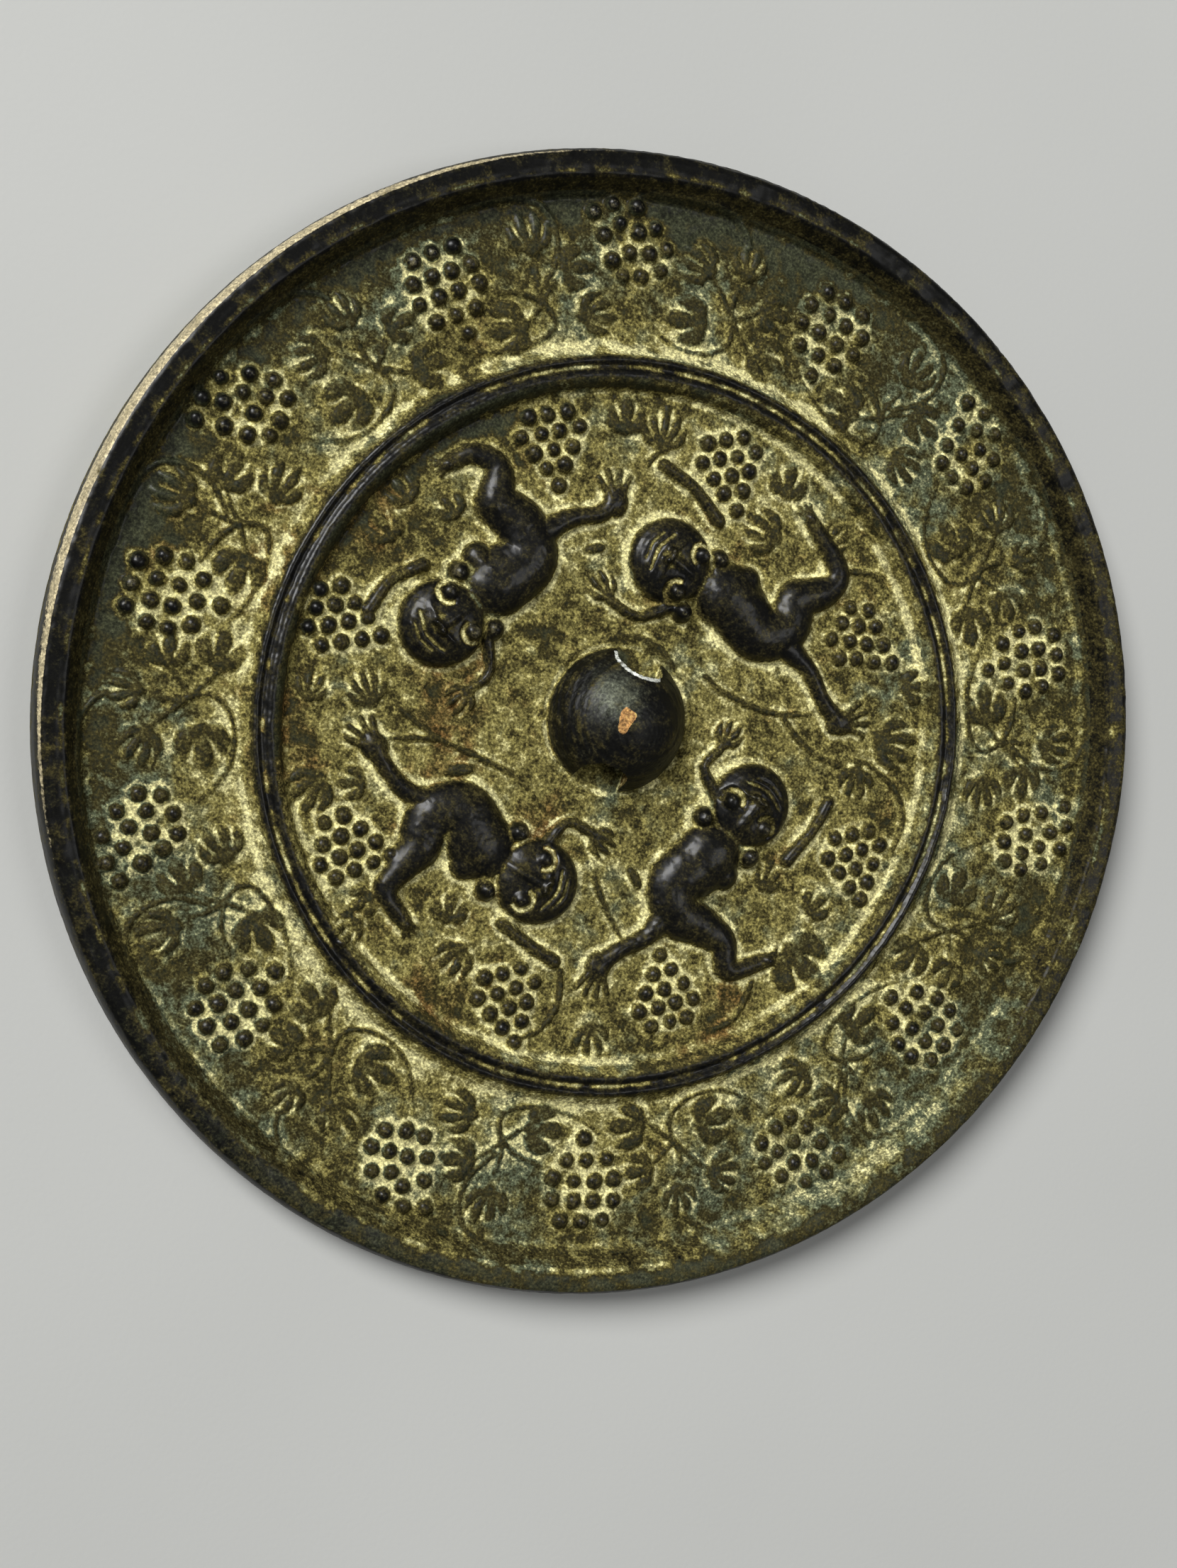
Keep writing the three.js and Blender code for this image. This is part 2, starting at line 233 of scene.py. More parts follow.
# Azimuths of the border's bunches, and of the crossings from which the sprays grow.
OUTWARD_AT = [5.3, 56.7, 108.4, 160.0, 210.8, 262.0, 313.7]
INWARD_AT = [28.6, 80.6, 132.3, 183.3, 233.8, 285.3, 336.9]
SPRAY_A_AT = [17.3, 68.3, 120.6, 172.3, 222.0, 273.3, 325.0]
SPRAY_B_AT = [41.8, 93.8, 145.0, 195.2, 246.4, 298.0, 349.5]

# Bunches in the inner field: place, and the turn of the narrow side from -X.
INNER_BUNCHES = [
    (-20.1, 30.2, 0), (2.4, 35.7, 0), (26.2, 21.7, 45), (35.6, -4.8, 0),
    (17.3, -29.6, 180), (-2.4, -35.3, 0), (-27.3, -24.4, 70), (-37.4, 0.9, 60),
]
INNER_COLUMNS = (2, 3, 4, 4)
COLUMN_STEP = 2.05
COLUMN_ORIGIN = 1.7
ALONG_STEP = 2.5
LAST_COLUMN_DRAWN_IN = 1.2


def grape(relief, at):
    """One grape, a little uneven in size, place and roundness."""
    size = GRAPE * rng.uniform(0.92, 1.1)
    at = at + rng.uniform(-0.12, 0.12, 2)
    relief.dome(at, size, size * rng.uniform(0.92, 1.04), GRAPE_HEIGHT * rng.uniform(0.85, 1.08),
                turn=rng.uniform(0, 180))


def border_bunches(relief):
    for azimuth in OUTWARD_AT:
        for along, out in OUTWARD_BUNCH:
            grape(relief, polar(out, azimuth + along))
    for azimuth in INWARD_AT:
        for out, count, shift in INWARD_ROWS:
            for index in range(count):
                along = shift + (index - (count - 1) / 2) * math.degrees(GRAPE_STEP / out)
                grape(relief, polar(out, azimuth + along))


def inner_bunches(relief):
    """Bunches that widen from a narrow side; the last column is shifted to round the bunch off."""
    for x, y, turn in INNER_BUNCHES:
        for column, count in enumerate(INNER_COLUMNS):
            shift = LAST_COLUMN_DRAWN_IN if column == 3 else 0
            for row in range(count):
                across = (column - COLUMN_ORIGIN) * COLUMN_STEP
                along = (row - (count - 1) / 2) * ALONG_STEP - shift
                grape(relief, np.array([x, y]) + turned((across, along), turn))


def turned(vector, degrees):
    c, s = math.cos(math.radians(degrees)), math.sin(math.radians(degrees))
    return np.array([vector[0] * c - vector[1] * s, vector[0] * s + vector[1] * c])


def leaf(relief, at, pointing, length, fingers=5, spread=128, height=0.62):
    """A leaf like a cupped hand: fat bent fingers lying close together, drawn in at their tips."""
    palm = length * 0.22
    relief.dome(at, palm, palm * 1.2, height * 0.9, turn=pointing, power=0.5)
    wide = 0.62 * length * math.radians(spread) / (fingers - 1) * 0.86
    for finger in range(fingers):
        side = 2 * finger / (fingers - 1) - 1
        reach = length * (1 - 0.16 * side * side) * rng.uniform(0.95, 1.05)
        start = at + polar(palm * 0.6, pointing + side * spread * 0.6)
        middle = at + polar(reach * 0.55, pointing + side * spread * 0.5)
        tip = at + polar(reach * 0.96, pointing + side * spread * 0.32)
        relief.stroke([start, middle, tip], [wide * 0.6, wide, wide * 0.9, wide * 0.45],
                      [height * 0.8, height, height * 0.95, height * 0.5], power=0.55)
    for gap in range(fingers - 1):
        side = 2 * (gap + 0.5) / (fingers - 1) - 1
        start = at + polar(length * 0.32, pointing + side * spread * 0.56)
        tip = at + polar(length * 0.98, pointing + side * spread * 0.34)
        bend = polar(0.12 * length * abs(side), pointing + side * 90)
        relief.groove([start, (start + tip) / 2 + bend, tip], 0.5, 0.22, rng.uniform(0.6, 1.0))


def stem(relief, line, width=0.75, height=0.5, taper=0.7):
    relief.stroke(line, [width, width, width * taper], [height, height, height * taper])


# A leaf is (degrees from the crossing, millimetres out, pointing from straight out, length, fingers).
SPRAY_A_LEAVES = [
    (0.2, 58.6, 0, 4.8, 4), (-3.4, 55.8, -85, 4.3, 3), (-5.4, 50.2, -82, 4.8, 4), (3.6, 50.0, 92, 5.0, 3),
]
# A stem is a line of (degrees from the crossing, millimetres out).
SPRAY_A_STEMS = [
    [(0, CROSSING), (0.3, 54.2), (0.1, 56.6)],
    [(0, CROSSING), (-1.4, 54.0), (-2.8, 55.3)],
    [(0, CROSSING), (2.6, 53.7), (6.2, 54.6)],
    [(0, CROSSING), (1.6, 50.9), (2.8, 50.2)],
    [(0, CROSSING), (-1.0, 50.6), (-0.8, 48.9), (1.6, 47.8), (5.5, 47.4), (10, 48.2), (14, 50.2)],
    [(-0.4, 54.0), (-2.6, 57.0), (-3.0, 60.0), (-2.3, 62.6), (-0.6, 64.2), (3.5, 64.8), (8.0, 64.4)],
]
SPRAY_B_LEAVES = [
    (-0.4, 58.2, 4, 4.0, 4), (4.4, 57.2, 68, 4.6, 4), (4.2, 50.9, 96, 5.0, 3),
    (-3.9, 55.2, -88, 3.8, 3), (-4.8, 49.6, -98, 4.6, 3),
]
SPRAY_B_STEMS = [
    [(0, CROSSING), (0.5, 54.2), (0.2, 56.4)],
    [(0, CROSSING), (1.8, 54.4), (3.6, 56.6)],
    [(0, CROSSING), (-1.8, 53.4), (-3.2, 54.6)],
    [(0, CROSSING), (-1.8, 50.8), (-3.4, 49.6), (-4.2, 48.2)],
    [(0, CROSSING), (-0.5, 50.2), (0.4, 48.5), (3.0, 47.3), (6.5, 47.1), (9.8, 48.2),
     (12.2, 50.3), (14.2, 53.0)],
    [(0.2, 61.8), (1.2, 63.4), (3.4, 64.7), (8.0, 65.0), (13.0, 65.0)],
]


def sprays(relief):
    """Both kinds of spray round the border, and the fine raised line at the border's outer edge."""
    for crossings, leaves, stems in (
        (SPRAY_A_AT, SPRAY_A_LEAVES, SPRAY_A_STEMS),
        (SPRAY_B_AT, SPRAY_B_LEAVES, SPRAY_B_STEMS),
    ):
        for crossing in crossings:
            for along, out, pointing, length, fingers in leaves:
                azimuth = crossing + along
                leaf(relief, polar(out, azimuth), azimuth + pointing, length * 0.92, fingers)
            for line in stems:
                stem(relief, [polar(out, crossing + along) for along, out in line])
            relief.dome(polar(CROSSING, crossing), 0.6, 0.6, 0.6)
    edge = [polar(FIELD_EDGE + 0.2, azimuth) for azimuth in np.linspace(0, 360, 240)]
    relief.stroke(edge, [0.55], [0.3])


# Leaves in the inner field: distance out, azimuth, pointing, length, fingers.
INNER_LEAVES = [
    (35.0, 101, 100, 5.0, 5), (36.6, 108.5, 108, 3.8, 3), (36.6, 73, 95, 3.8, 3),
    (31.4, 69, 175, 4.6, 4), (36.0, 59.5, 60, 3.4, 4), (39.0, 27, 30, 3.4, 3),
    (35.3, 17.0, 5, 5.4, 4), (32.6, 10, -80, 4.0, 4), (34.6, -22.5, 60, 3.2, 3),
    (27.6, -26.5, 70, 3.2, 4), (36.6, -31.4, -25, 6.0, 3), (37.0, -76, -60, 3.8, 4),
    (31.4, 246, 95, 3.4, 3), (33.0, 252.8, 250, 4.0, 4), (37.6, 208, 250, 4.8, 4),
    (32.6, 210.5, 200, 3.0, 3), (31.0, 193.3, 130, 4.2, 5), (38.6, 193.7, 90, 3.2, 4),
    (36.6, 161, 140, 3.2, 3), (38.0, 153.5, 150, 3.0, 3), (33.0, 148.3, 150, 2.8, 3),
    (39.8, 234.6, 230, 3.4, 4), (36.7, 232, 235, 3.0, 3),
]
INNER_VINES = [
    [(-26.8, -6.7), (-24, -7.7), (-21.4, -8.5), (-19, -8.7), (-14, -9.2), (-10, -9.9),
     (-7, -11.5), (-5.4, -12.6)],
    [(-21.4, -8.7), (-24, -9.5), (-26.8, -10.5)],
    [(8.3, 10.0), (11, 9.0), (16, 8.5), (20, 9.0), (23.4, 10.2)],
    [(20, 8.7), (22, 7.3), (24.4, 6.1), (27, 5.5), (29.6, 5.4)],
    [(31, 6.7), (32.8, 6.9), (35.2, 6.3), (37.6, 5.3), (39.6, 3.3), (40.6, 0.9), (40.3, -2.5)],
    [(21.4, 28.7), (25, 29.7), (27.2, 29.1)],
    [(3.2, -18.1), (5.2, -20.5), (7.2, -22.5), (9, -24.1)],
    [(3, -30.3), (3.8, -32.5), (4, -35.1), (3, -37.9), (1.2, -39.5)],
    [(27.6, -24.1), (27.5, -26.7), (26.8, -29.5), (25, -31.1)],
    [(-6.6, 34.1), (-7.6, 31.7)],
]
# Small lone buds: place, half length and turn.
SEEDS = [((-17.4, -11.3), 2.1, 24), ((8.2, -16.5), 1.7, -40), ((-10.4, 19.7), 1.6, 30)]


def inner_vines(relief):
    for out, azimuth, pointing, length, fingers in INNER_LEAVES:
        leaf(relief, polar(out, azimuth), pointing, length, fingers)
    for line in INNER_VINES:
        stem(relief, line, width=0.85, height=0.55, taper=0.8)
    foot_line = [np.array([KNOB_X, KNOB_Y]) + KNOB_FOOT_LINE * np.array([math.cos(a), math.sin(a)])
                 for a in np.linspace(0, 2 * math.pi, 60)]
    relief.stroke(foot_line, [0.8], [0.28])
    threshold = [(-5.6, 9.6), (-3.4, 11.0), (-0.7, 11.4), (2.0, 11.0), (4.2, 9.6)]
    relief.stroke(threshold, [0.8, 1.1, 0.8], [0.4, 0.55, 0.4])
    for at, length, turn in SEEDS:
        relief.dome(np.array(at), length, length * 0.42, 0.7, turn=turn)


# ---------------------------------------------------------------- the four beasts

# Each beast: its head, the way the muzzle points, how far forward the eyes are, the lines of its
# parts, the bar beside it, and the ways its tail's tuft and its raised paw point.
BEASTS = [
    {
        "head": (-25.4, 4.6), "look": 232, "eyes": -2.3,
        "trunk": [(-23.6, 8.2), (-20.6, 11.6), (-18.0, 15.6), (-20.2, 18.9), (-24.0, 20.3)],
        "shoulder": [(-21.2, 11.8), (-24.0, 13.4)],
        "leg": [(-24.0, 20.3), (-25.2, 24.4), (-28.6, 24.8), (-31.0, 22.6)],
        "tail": [(-18.4, 18.0), (-14.6, 22.0), (-11.4, 23.8), (-10.0, 26.0)], "tuft": 112,
        "bar": [(-29.8, 10.3), (-32.9, 7.2), (-34.3, 2.9)],
        "arm": [(-20.0, 5.6), (-17.9, 1.2), (-19.2, -1.4)], "paw": 245,
    },
    {
        "head": (-0.9, 21.6), "look": 163, "eyes": -2.4,
        "trunk": [(3.6, 21.3), (8.4, 19.9), (12.9, 17.4), (16.3, 19.2), (16.5, 23.0)],
        "shoulder": [(8.6, 19.6), (9.4, 22.8)],
        "leg": [(16.5, 23.0), (20.4, 26.0), (20.2, 29.0), (14.8, 33.2)],
        "tail": [(15.8, 17.6), (21.0, 15.4), (24.6, 12.2), (27.6, 10.6)], "tuft": 28,
        "bar": [(-5.6, 32.4), (-1.0, 31.2), (3.4, 28.6)],
        "arm": [(1.6, 17.0), (-2.4, 13.9), (-6.4, 14.4)], "paw": 140,
    },
    {
        "head": (19.5, -3.4), "look": 70, "eyes": -1.1,
        "trunk": [(18.4, -7.2), (15.8, -12.0), (13.4, -15.8), (14.9, -18.9), (18.2, -19.4)],
        "shoulder": [(16.2, -11.6), (19.2, -12.6)],
        "leg": [(18.2, -19.4), (22.0, -20.6), (24.0, -23.6), (28.6, -20.9)],
        "tail": [(13.9, -18.6), (12.2, -22.8), (9.4, -25.6), (7.4, -28.4)], "tuft": 275,
        "bar": [(29.6, 0.5), (28.9, -3.0), (26.8, -8.1)],
        "arm": [(14.9, -3.6), (12.2, -0.8), (13.4, 2.2)], "paw": 75,
    },
    {
        "head": (-3.9, -20.9), "look": -11, "eyes": -0.7,
        "trunk": [(-8.0, -20.6), (-12.0, -18.8), (-15.4, -15.9), (-18.6, -17.6), (-19.0, -21.6)],
        "shoulder": [(-12.0, -18.8), (-13.0, -21.8)],
        "leg": [(-19.0, -21.6), (-20.6, -25.4), (-21.0, -28.0), (-17.6, -30.7)],
        "tail": [(-17.6, -16.0), (-22.4, -15.8), (-25.6, -14.2), (-28.2, -12.0)], "tuft": 148,
        "bar": [(-6.0, -27.1), (-2.0, -28.5), (1.8, -29.5)],
        "arm": [(-4.2, -16.2), (-2.4, -12.9), (0.8, -13.0)], "paw": -20,
    },
]


class Head:
    """Places on a beast's head, forward to the muzzle and across to its left."""

    def __init__(self, centre, look):
        self.centre = centre
        self.look = look

    def at(self, forward, across):
        return self.centre + turned((forward, across), self.look)

    def line(self, *places):
        return [self.at(forward, across) for forward, across in places]

    def arc(self, radius, span):
        turns = np.radians(np.linspace(-span, span, 9))
        return [self.at(radius * math.cos(a), radius * math.sin(a)) for a in turns]


def head(relief, face, eyes):
    """A round cat's face: ringed eyes, ears, nose with its bridge and cheeks, mouth and chin line."""
    look = face.look
    relief.dome(face.centre, 5.5, 5.3, 2.8, turn=look, power=0.38)
    for side in (-1, 1):
        eye = face.at(eyes, side * 2.8)
        socket = [eye + polar(1.3, look - side * a) for a in range(-120, 105, 25)]
        relief.groove(socket, 0.85, 0.55)
        relief.dome(eye - polar(0.15, look), 1.0, 1.0, 0.7, over=2.3)
        ear = face.at(-4.9, side * 4.0)
        relief.dome(ear, 1.5, 1.4, 2.3, turn=look, power=0.5)
        root = [face.centre + polar(5.2, look + side * a) for a in (122, 134, 146, 158)]
        relief.groove(root, 0.55, 0.6, 0.95)
        relief.dome(face.at(1.1, side * 0.7), 0.75, 0.65, 3.55, power=0.5)
    bridge = face.line((-4.2, 0), (-1.6, 0), (0.4, 0))
    relief.stroke(bridge, [0.9, 1.1, 1.5], [0.15, 0.35, 0.5], add=True)
    cheeks = face.line((0.3, -3.0), (0.9, 0), (0.3, 3.0))
    relief.stroke(cheeks, [0.5, 0.9, 0.5], [0.2, 0.5, 0.2], add=True)
    relief.groove(face.line((1.9, -2.7), (2.6, 0), (1.9, 2.7)), 0.5, 0.45, 0.75)
    relief.groove(face.line((3.1, -2.0), (3.6, 0), (3.1, 2.0)), 0.4, 0.3, 0.5)
    relief.stroke(face.arc(4.6, 95), [0.3, 0.4, 0.3], [-0.12, -0.22, -0.12], power=0.8, add=True)


def hand(relief, at, pointing, size):
    """The foot at the end of a limb, with short blunt toes."""
    relief.dome(at, size * 0.5, size * 0.42, 1.3, turn=pointing, power=0.55)
    for side in (-1, -0.35, 0.35, 1):
        root = at + polar(size * 0.25, pointing + side * 50)
        toe = at + polar(size * (0.95 - 0.1 * abs(side)), pointing + side * 34)
        relief.stroke([root, toe], [size * 0.24, size * 0.2], [1.1, 0.6])


# Widths and heights along each part of a beast, and how round its section is.
LIMBS = {
    "trunk": ([5.4, 8.8, 7.8, 6.8, 5.6], [1.2, 2.9, 2.7, 2.4, 2.0], 0.62),
    "shoulder": ([5.4, 4.0], [2.6, 1.9], 0.6),
    "leg": ([5.4, 3.8, 2.9, 2.2], [2.1, 1.7, 1.4, 1.0], 0.6),
    "tail": ([4.4, 2.8, 2.3, 2.6], [2.0, 1.5, 1.3, 1.3], 0.6),
    "bar": ([1.8, 1.6, 1.9], [1.0, 0.9, 1.1], 0.45),
    "arm": ([2.2, 1.4, 1.4], [1.5, 1.0, 0.9], 0.6),
}
FOOT_SIZE = 2.2
TUFT_SIZE = 4.2
PAW_LENGTH = 3.4


def beast(relief, shape):
    for part, (widths, heights, power) in LIMBS.items():
        relief.stroke(shape[part], widths, heights, power)
    leg_end, tail_end, arm_end = [np.array(shape[part][-1]) for part in ("leg", "tail", "arm")]
    foot = leg_end - np.array(shape["leg"][-2])
    hand(relief, leg_end, math.degrees(math.atan2(foot[1], foot[0])), FOOT_SIZE)
    hand(relief, tail_end, shape["tuft"], TUFT_SIZE)
    paw = shape["paw"]
    leaf(relief, arm_end + polar(0.6, paw), paw, PAW_LENGTH, fingers=4, spread=110, height=0.85)
    head(relief, Head(np.array(shape["head"]), shape["look"]), shape["eyes"])


# ---------------------------------------------------------------- section through the disc

# The ring's two beads with the groove between them: distance from the ring's middle, and rise
# above its top.
RING_SECTION = [
    (-1.9, -0.5), (-1.4, -0.1), (-1.0, 0), (-0.6, -0.1), (-0.25, -0.5),
    (0.25, -0.5), (0.5, -0.1), (0.8, 0), (1.15, -0.15), (1.5, -0.8),
]


def disc_profile(out):
    """Height of the carved side at a distance from the axis, without its relief."""
    points = [(0, INNER_FIELD), (RING_FOOT_IN, INNER_FIELD)]
    points += [(RING + across, RING_TOP + rise) for across, rise in RING_SECTION]
    points += [
        (RING_FOOT_OUT, OUTER_FIELD), (FIELD_EDGE, OUTER_FIELD), (FIELD_EDGE + 0.5, OUTER_FIELD + 0.8),
        (RIM_CREST - 0.3, RIM_TOP - 0.35), (RIM_CREST + 0.2, RIM_TOP), (RADIUS - 1.4, RIM_TOP),
        (RADIUS - 0.9, RIM_TOP - 0.2),
    ]
    return np.interp(out, [p[0] for p in points], [p[1] for p in points])


# Patches of the ground: place, reach, more or less earth, and tint from -1 (rusty) to 1 (green).
PATCHES = [
    (-29, 29, 9, -0.22, 0.1), (-57, 10, 12, -0.12, -0.7), (-28, 46, 10, 0.0, 0.6),
    (6, 61, 16, -0.16, 0.5), (36, 48, 14, -0.05, 0.6), (34, 14, 9, -0.02, 0.8),
    (54, -40, 14, 0.12, 0.5), (60, 10, 12, 0.05, 0.1), (-50, -36, 14, 0.0, 0.6),
    (-52, 2, 10, 0.08, -0.5), (12, 8, 8, 0.06, -0.3), (-14, -8, 12, 0.06, -0.2),
    (28, -28, 10, -0.04, -0.5), (0, -52, 16, 0.05, -0.1), (-36, 28, 8, -0.1, -0.2),
    (-24, -28, 7, -0.06, 0.2),
    (62, -24, 12, 0.05, 0.5), (-44, 44, 12, 0.04, 0.2), (-8, 33, 8, 0.05, 0.3), (46, -4, 8, 0.0, 0.4),
    # The last patch is painted shade on the left of the floor under the knob's hole.
    (-3.2, 8.2, 1.5, -0.7, 0.0),
]


# The side the light comes from, as an azimuth. There the field at the foot of the ring's inner wall and below
# the rim lies in their shade, painted in as less earth and darker metal, and the ring's outer slope faces the
# light, painted in as paler earth.
LIGHT_SIDE = 140
LAYERS = ("dust_and_painted_light", "wear_and_painted_highlight", "tint", "polish_and_painted_light")


class Surface:
    """The finished carved side: height, earth, wear, tint and polish anywhere on it, with painted shade and
    painted light mixed into the earth, the wear and the polish.
    """

    def __init__(self, relief):
        self.packed = relief.packed
        self.fine, self.middle, self.broad = rough(0.1), rough(0.5), rough(3.0)
        steps = np.arange(MAP_SIZE) * MAP_STEP - MAP_HALF
        x, y = np.meshgrid(steps, steps)
        out = np.hypot(x, y)
        lump = blurred(relief.height, 0.1)
        scored = -0.16 * near(out - RIM_CREST - 0.5, 0.16)
        base = disc_profile(out).astype(np.float32)
        self.height = base + lump + scored + 0.02 * self.fine + 0.035 * self.middle + 0.05 * self.broad
        hollow = blurred(self.height, 0.5) - self.height
        earth, tint = np.zeros_like(out), np.zeros_like(out)
        for px, py, reach, more, hue in PATCHES:
            patch = near(np.hypot(x - px, y - py), reach)
            earth += more * patch
            tint += hue * patch
        outer = smoothstep(RING, RING + 2, out) * (0.2 + 0.25 * smoothstep(49, 60, out))
        self.tint = np.clip(0.55 * tint + 0.22 * self.broad + outer, -1, 1)
        # Painted shade: on the side toward the light, the field at the foot of the ring's inner wall and
        # below the rim lies in their shade, and is painted with less earth and darker metal.
        toward_light = smoothstep(0.2, 0.9, np.cos(np.arctan2(y, x) - math.radians(LIGHT_SIDE)))
        self.painted_shade = toward_light * (near(out - RING_FOOT_IN - 0.3, 1.6) + 0.9 * near(out - FIELD_EDGE + 0.5, 3.4))
        self.dust_and_painted_light = self.dust_and_light_map(x, y, lump, hollow, earth, toward_light)
        # Wear on the relief's tops, partly standing in for glints as a painted highlight.
        self.wear_and_painted_highlight = smoothstep(0.03, 0.4, -hollow) * smoothstep(0.2, 0.8, lump)
        ring = smoothstep(1.7, 1.0, np.abs(out - RING))
        edges = np.maximum(ring, 0.6 * smoothstep(FIELD_EDGE, FIELD_EDGE + 1.5, out))
        heights = np.maximum(smoothstep(0.25, 1.0, lump), edges)
        # Darker metal as painted shade where the field lies in the rim's and the ring's shade.
        self.polish_and_painted_light = np.maximum(heights, 0.6 * self.painted_shade).astype(np.float32)

    def dust_and_light_map(self, x, y, lump, hollow, earth, toward_light):
        """Earth over the fields, round the knob's foot, along the ring's groove and on the rim, with painted
        light and painted shade in it.
        """
        out, azimuth = np.hypot(x, y), np.degrees(np.arctan2(y, x)) % 360
        patchy = smoothstep(-1.4, 1.4, self.middle + 0.7 * self.broad)
        dust_and_painted_light = self.field_dust_and_light(out, azimuth, lump, hollow, earth)
        knob_foot = np.hypot(x - KNOB_X, y - KNOB_Y) - KNOB_FOOT
        dust_and_painted_light += 0.5 * near(knob_foot - 0.2, 0.35) * smoothstep(-1.6, 0.6, self.middle)
        ring = smoothstep(1.7, 0.9, np.abs(out - RING))
        groove = 0.05 + 0.85 * near(out - RING, 0.22) * patchy
        # Painted light: the ring's outer slope gets more pale earth on the side toward the light.
        outer_slope_earth_and_light = (0.6 + toward_light) * near(out - RING_FOOT_OUT + 0.4, 0.8)
        dust_and_painted_light = dust_and_painted_light * (1 - ring) + ring * groove + 0.36 * outer_slope_earth_and_light * patchy
        slope = smoothstep(FIELD_EDGE - 0.2, FIELD_EDGE + 0.8, out)
        dust_and_painted_light = dust_and_painted_light * (1 - slope) + slope * self.rim_dust(out, azimuth, patchy)
        return np.clip(dust_and_painted_light, 0, 1.2)

    def field_dust_and_light(self, out, azimuth, lump, hollow, earth):
        """Earth lies in the hollows and at the foot of the relief, and thinly on the open field; it is paler
        at the ring's outer foot toward the light as painted light, and thinner in the rim's and the ring's
        shade as painted shade.
        """
        halo = smoothstep(0.02, 0.2, hollow) * (0.5 + 0.5 * smoothstep(-1.4, 1.4, self.middle + self.broad))
        halo *= 1 - 0.5 * near(out - FIELD_EDGE, 1.2)
        low = 1 - smoothstep(0.12, 0.45, lump)
        shelter = smoothstep(0.02, 0.5, blurred(lump, 1.3))
        ring_foot_earth_and_light = 0.2 * near(out - RING_FOOT_OUT - 1.0, 1.8)
        # Painted light: the earth at the ring's outer foot is paler on the side that faces the light.
        ring_foot_earth_and_light *= 0.7 + 0.5 * np.cos(np.radians(azimuth - 200))
        field = np.where(out > RING, 0.46 - 0.16 * smoothstep(49, 60, out), 0.43)
        field += ring_foot_earth_and_light + 0.12 * shelter + earth + 0.07 * self.broad + 0.08 * self.middle
        crest = 0.22 - 0.16 * smoothstep(0.6, 1.5, lump)
        dust_and_painted_light = low * (field + 0.6 * halo) + (1 - low) * (crest + 0.45 * halo)
        dust_and_painted_light = np.maximum(dust_and_painted_light, 0.95 * self.packed * smoothstep(-2.2, 0.6, self.middle))
        # Painted shade: less earth where the rim and the ring shade the field.
        return dust_and_painted_light - 0.3 * self.painted_shade

    def rim_dust(self, out, azimuth, patchy):
        """Pale green crust on the lower right slope, and thin earthy lines along the rim's crest."""
        crust = near(azimuth - 322, 24) + 0.35 * near(azimuth - 262, 26)
        slope_dust = 0.14 + 0.7 * crust * (0.6 + 0.4 * smoothstep(-1.0, 1.0, self.middle))
        top_dust = 0.02 + 0.12 * near(azimuth - 300, 52) + 0.04 * self.middle
        top_dust += 0.14 * smoothstep(0.3, 1.0, np.cos(np.radians(azimuth - 5)))
        top = smoothstep(RIM_CREST - 0.6, RIM_CREST + 0.1, out)
        line = 0.4 * smoothstep(-1.0, 1.0, self.middle) * near(out - RIM_CREST - 0.5, 0.2)
        line += near(azimuth - 275, 42) * (0.25 + 0.5 * patchy) * near(out - RIM_CREST, 0.22)
        return slope_dust * (1 - top) + top_dust * top + line

    @staticmethod
    def sample(field, x, y):
        """Bilinear reading of a map at places in millimetres."""
        u = np.clip((x + MAP_HALF) / MAP_STEP, 0, MAP_SIZE - 1.001)
        v = np.clip((y + MAP_HALF) / MAP_STEP, 0, MAP_SIZE - 1.001)
        i, j = u.astype(int), v.astype(int)
        fu, fv = u - i, v - j
        top = field[j, i] * (1 - fu) + field[j, i + 1] * fu
        bottom = field[j + 1, i] * (1 - fu) + field[j + 1, i + 1] * fu
        return top * (1 - fv) + bottom * fv


# ---------------------------------------------------------------- meshes

def add_layers(mesh, layers):
    """Values at each point, for the materials to read."""
    for key, values in layers.items():
        layer = mesh.attributes.new(key, "FLOAT", "POINT")
        layer.data.foreach_set("value", np.asarray(values, np.float32).ravel())


def make_piece(name, places, faces, material, layers):
    """A mesh object from places in millimetres and faces of four corners."""
    mesh = bpy.data.meshes.new(name)
    mesh.vertices.add(len(places))
    mesh.vertices.foreach_set("co", (places * MM).astype(np.float32).ravel())
    size = faces.shape[1]
    mesh.loops.add(len(faces) * size)
    mesh.loops.foreach_set("vertex_index", faces.astype(np.int32).ravel())
    mesh.polygons.add(len(faces))
    mesh.polygons.foreach_set("loop_start", np.arange(len(faces), dtype=np.int32) * size)
    mesh.update(calc_edges=True)
    add_layers(mesh, layers)
    mesh.shade_smooth()
    mesh.materials.append(material)
    return placed(name, mesh)


def placed(name, data):
    """A new object in the scene, holding the given mesh, camera or light."""
    thing = bpy.data.objects.new(name, data)
    bpy.context.scene.collection.objects.link(thing)
    return thing


def settle(piece):
    """Fixes a piece to the mirror's body, in the place of the plain solid."""
    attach(piece, BODY)
    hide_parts("mirror")


def ring_grid(rows, columns):
    """Faces of a grid of closed rings, rows from the inside out, facing up."""
    row, column = np.meshgrid(np.arange(rows - 1), np.arange(columns), indexing="ij")
    following = (column + 1) % columns
    first = row * columns
    return np.stack([first + column, first + columns + column,
                     first + columns + following, first + following], -1).reshape(-1, 4)


def ring_fill(first, columns):
    """Strips across the closed ring of vertices that starts at the given one."""
    half = np.arange(columns // 2 - 1)
    return first + np.stack([half, columns - 1 - half, columns - 2 - half, half + 1], -1)


def thinned(piece, most):
    """Lets go of faces where the surface is nearly flat, down to the given number of triangles."""
    count = sum(len(p.vertices) - 2 for p in piece.data.polygons)
    if count <= most:
        return
    modifier = piece.modifiers.new("thin", "DECIMATE")
    modifier.ratio = most / count
    apply_modifiers(piece)


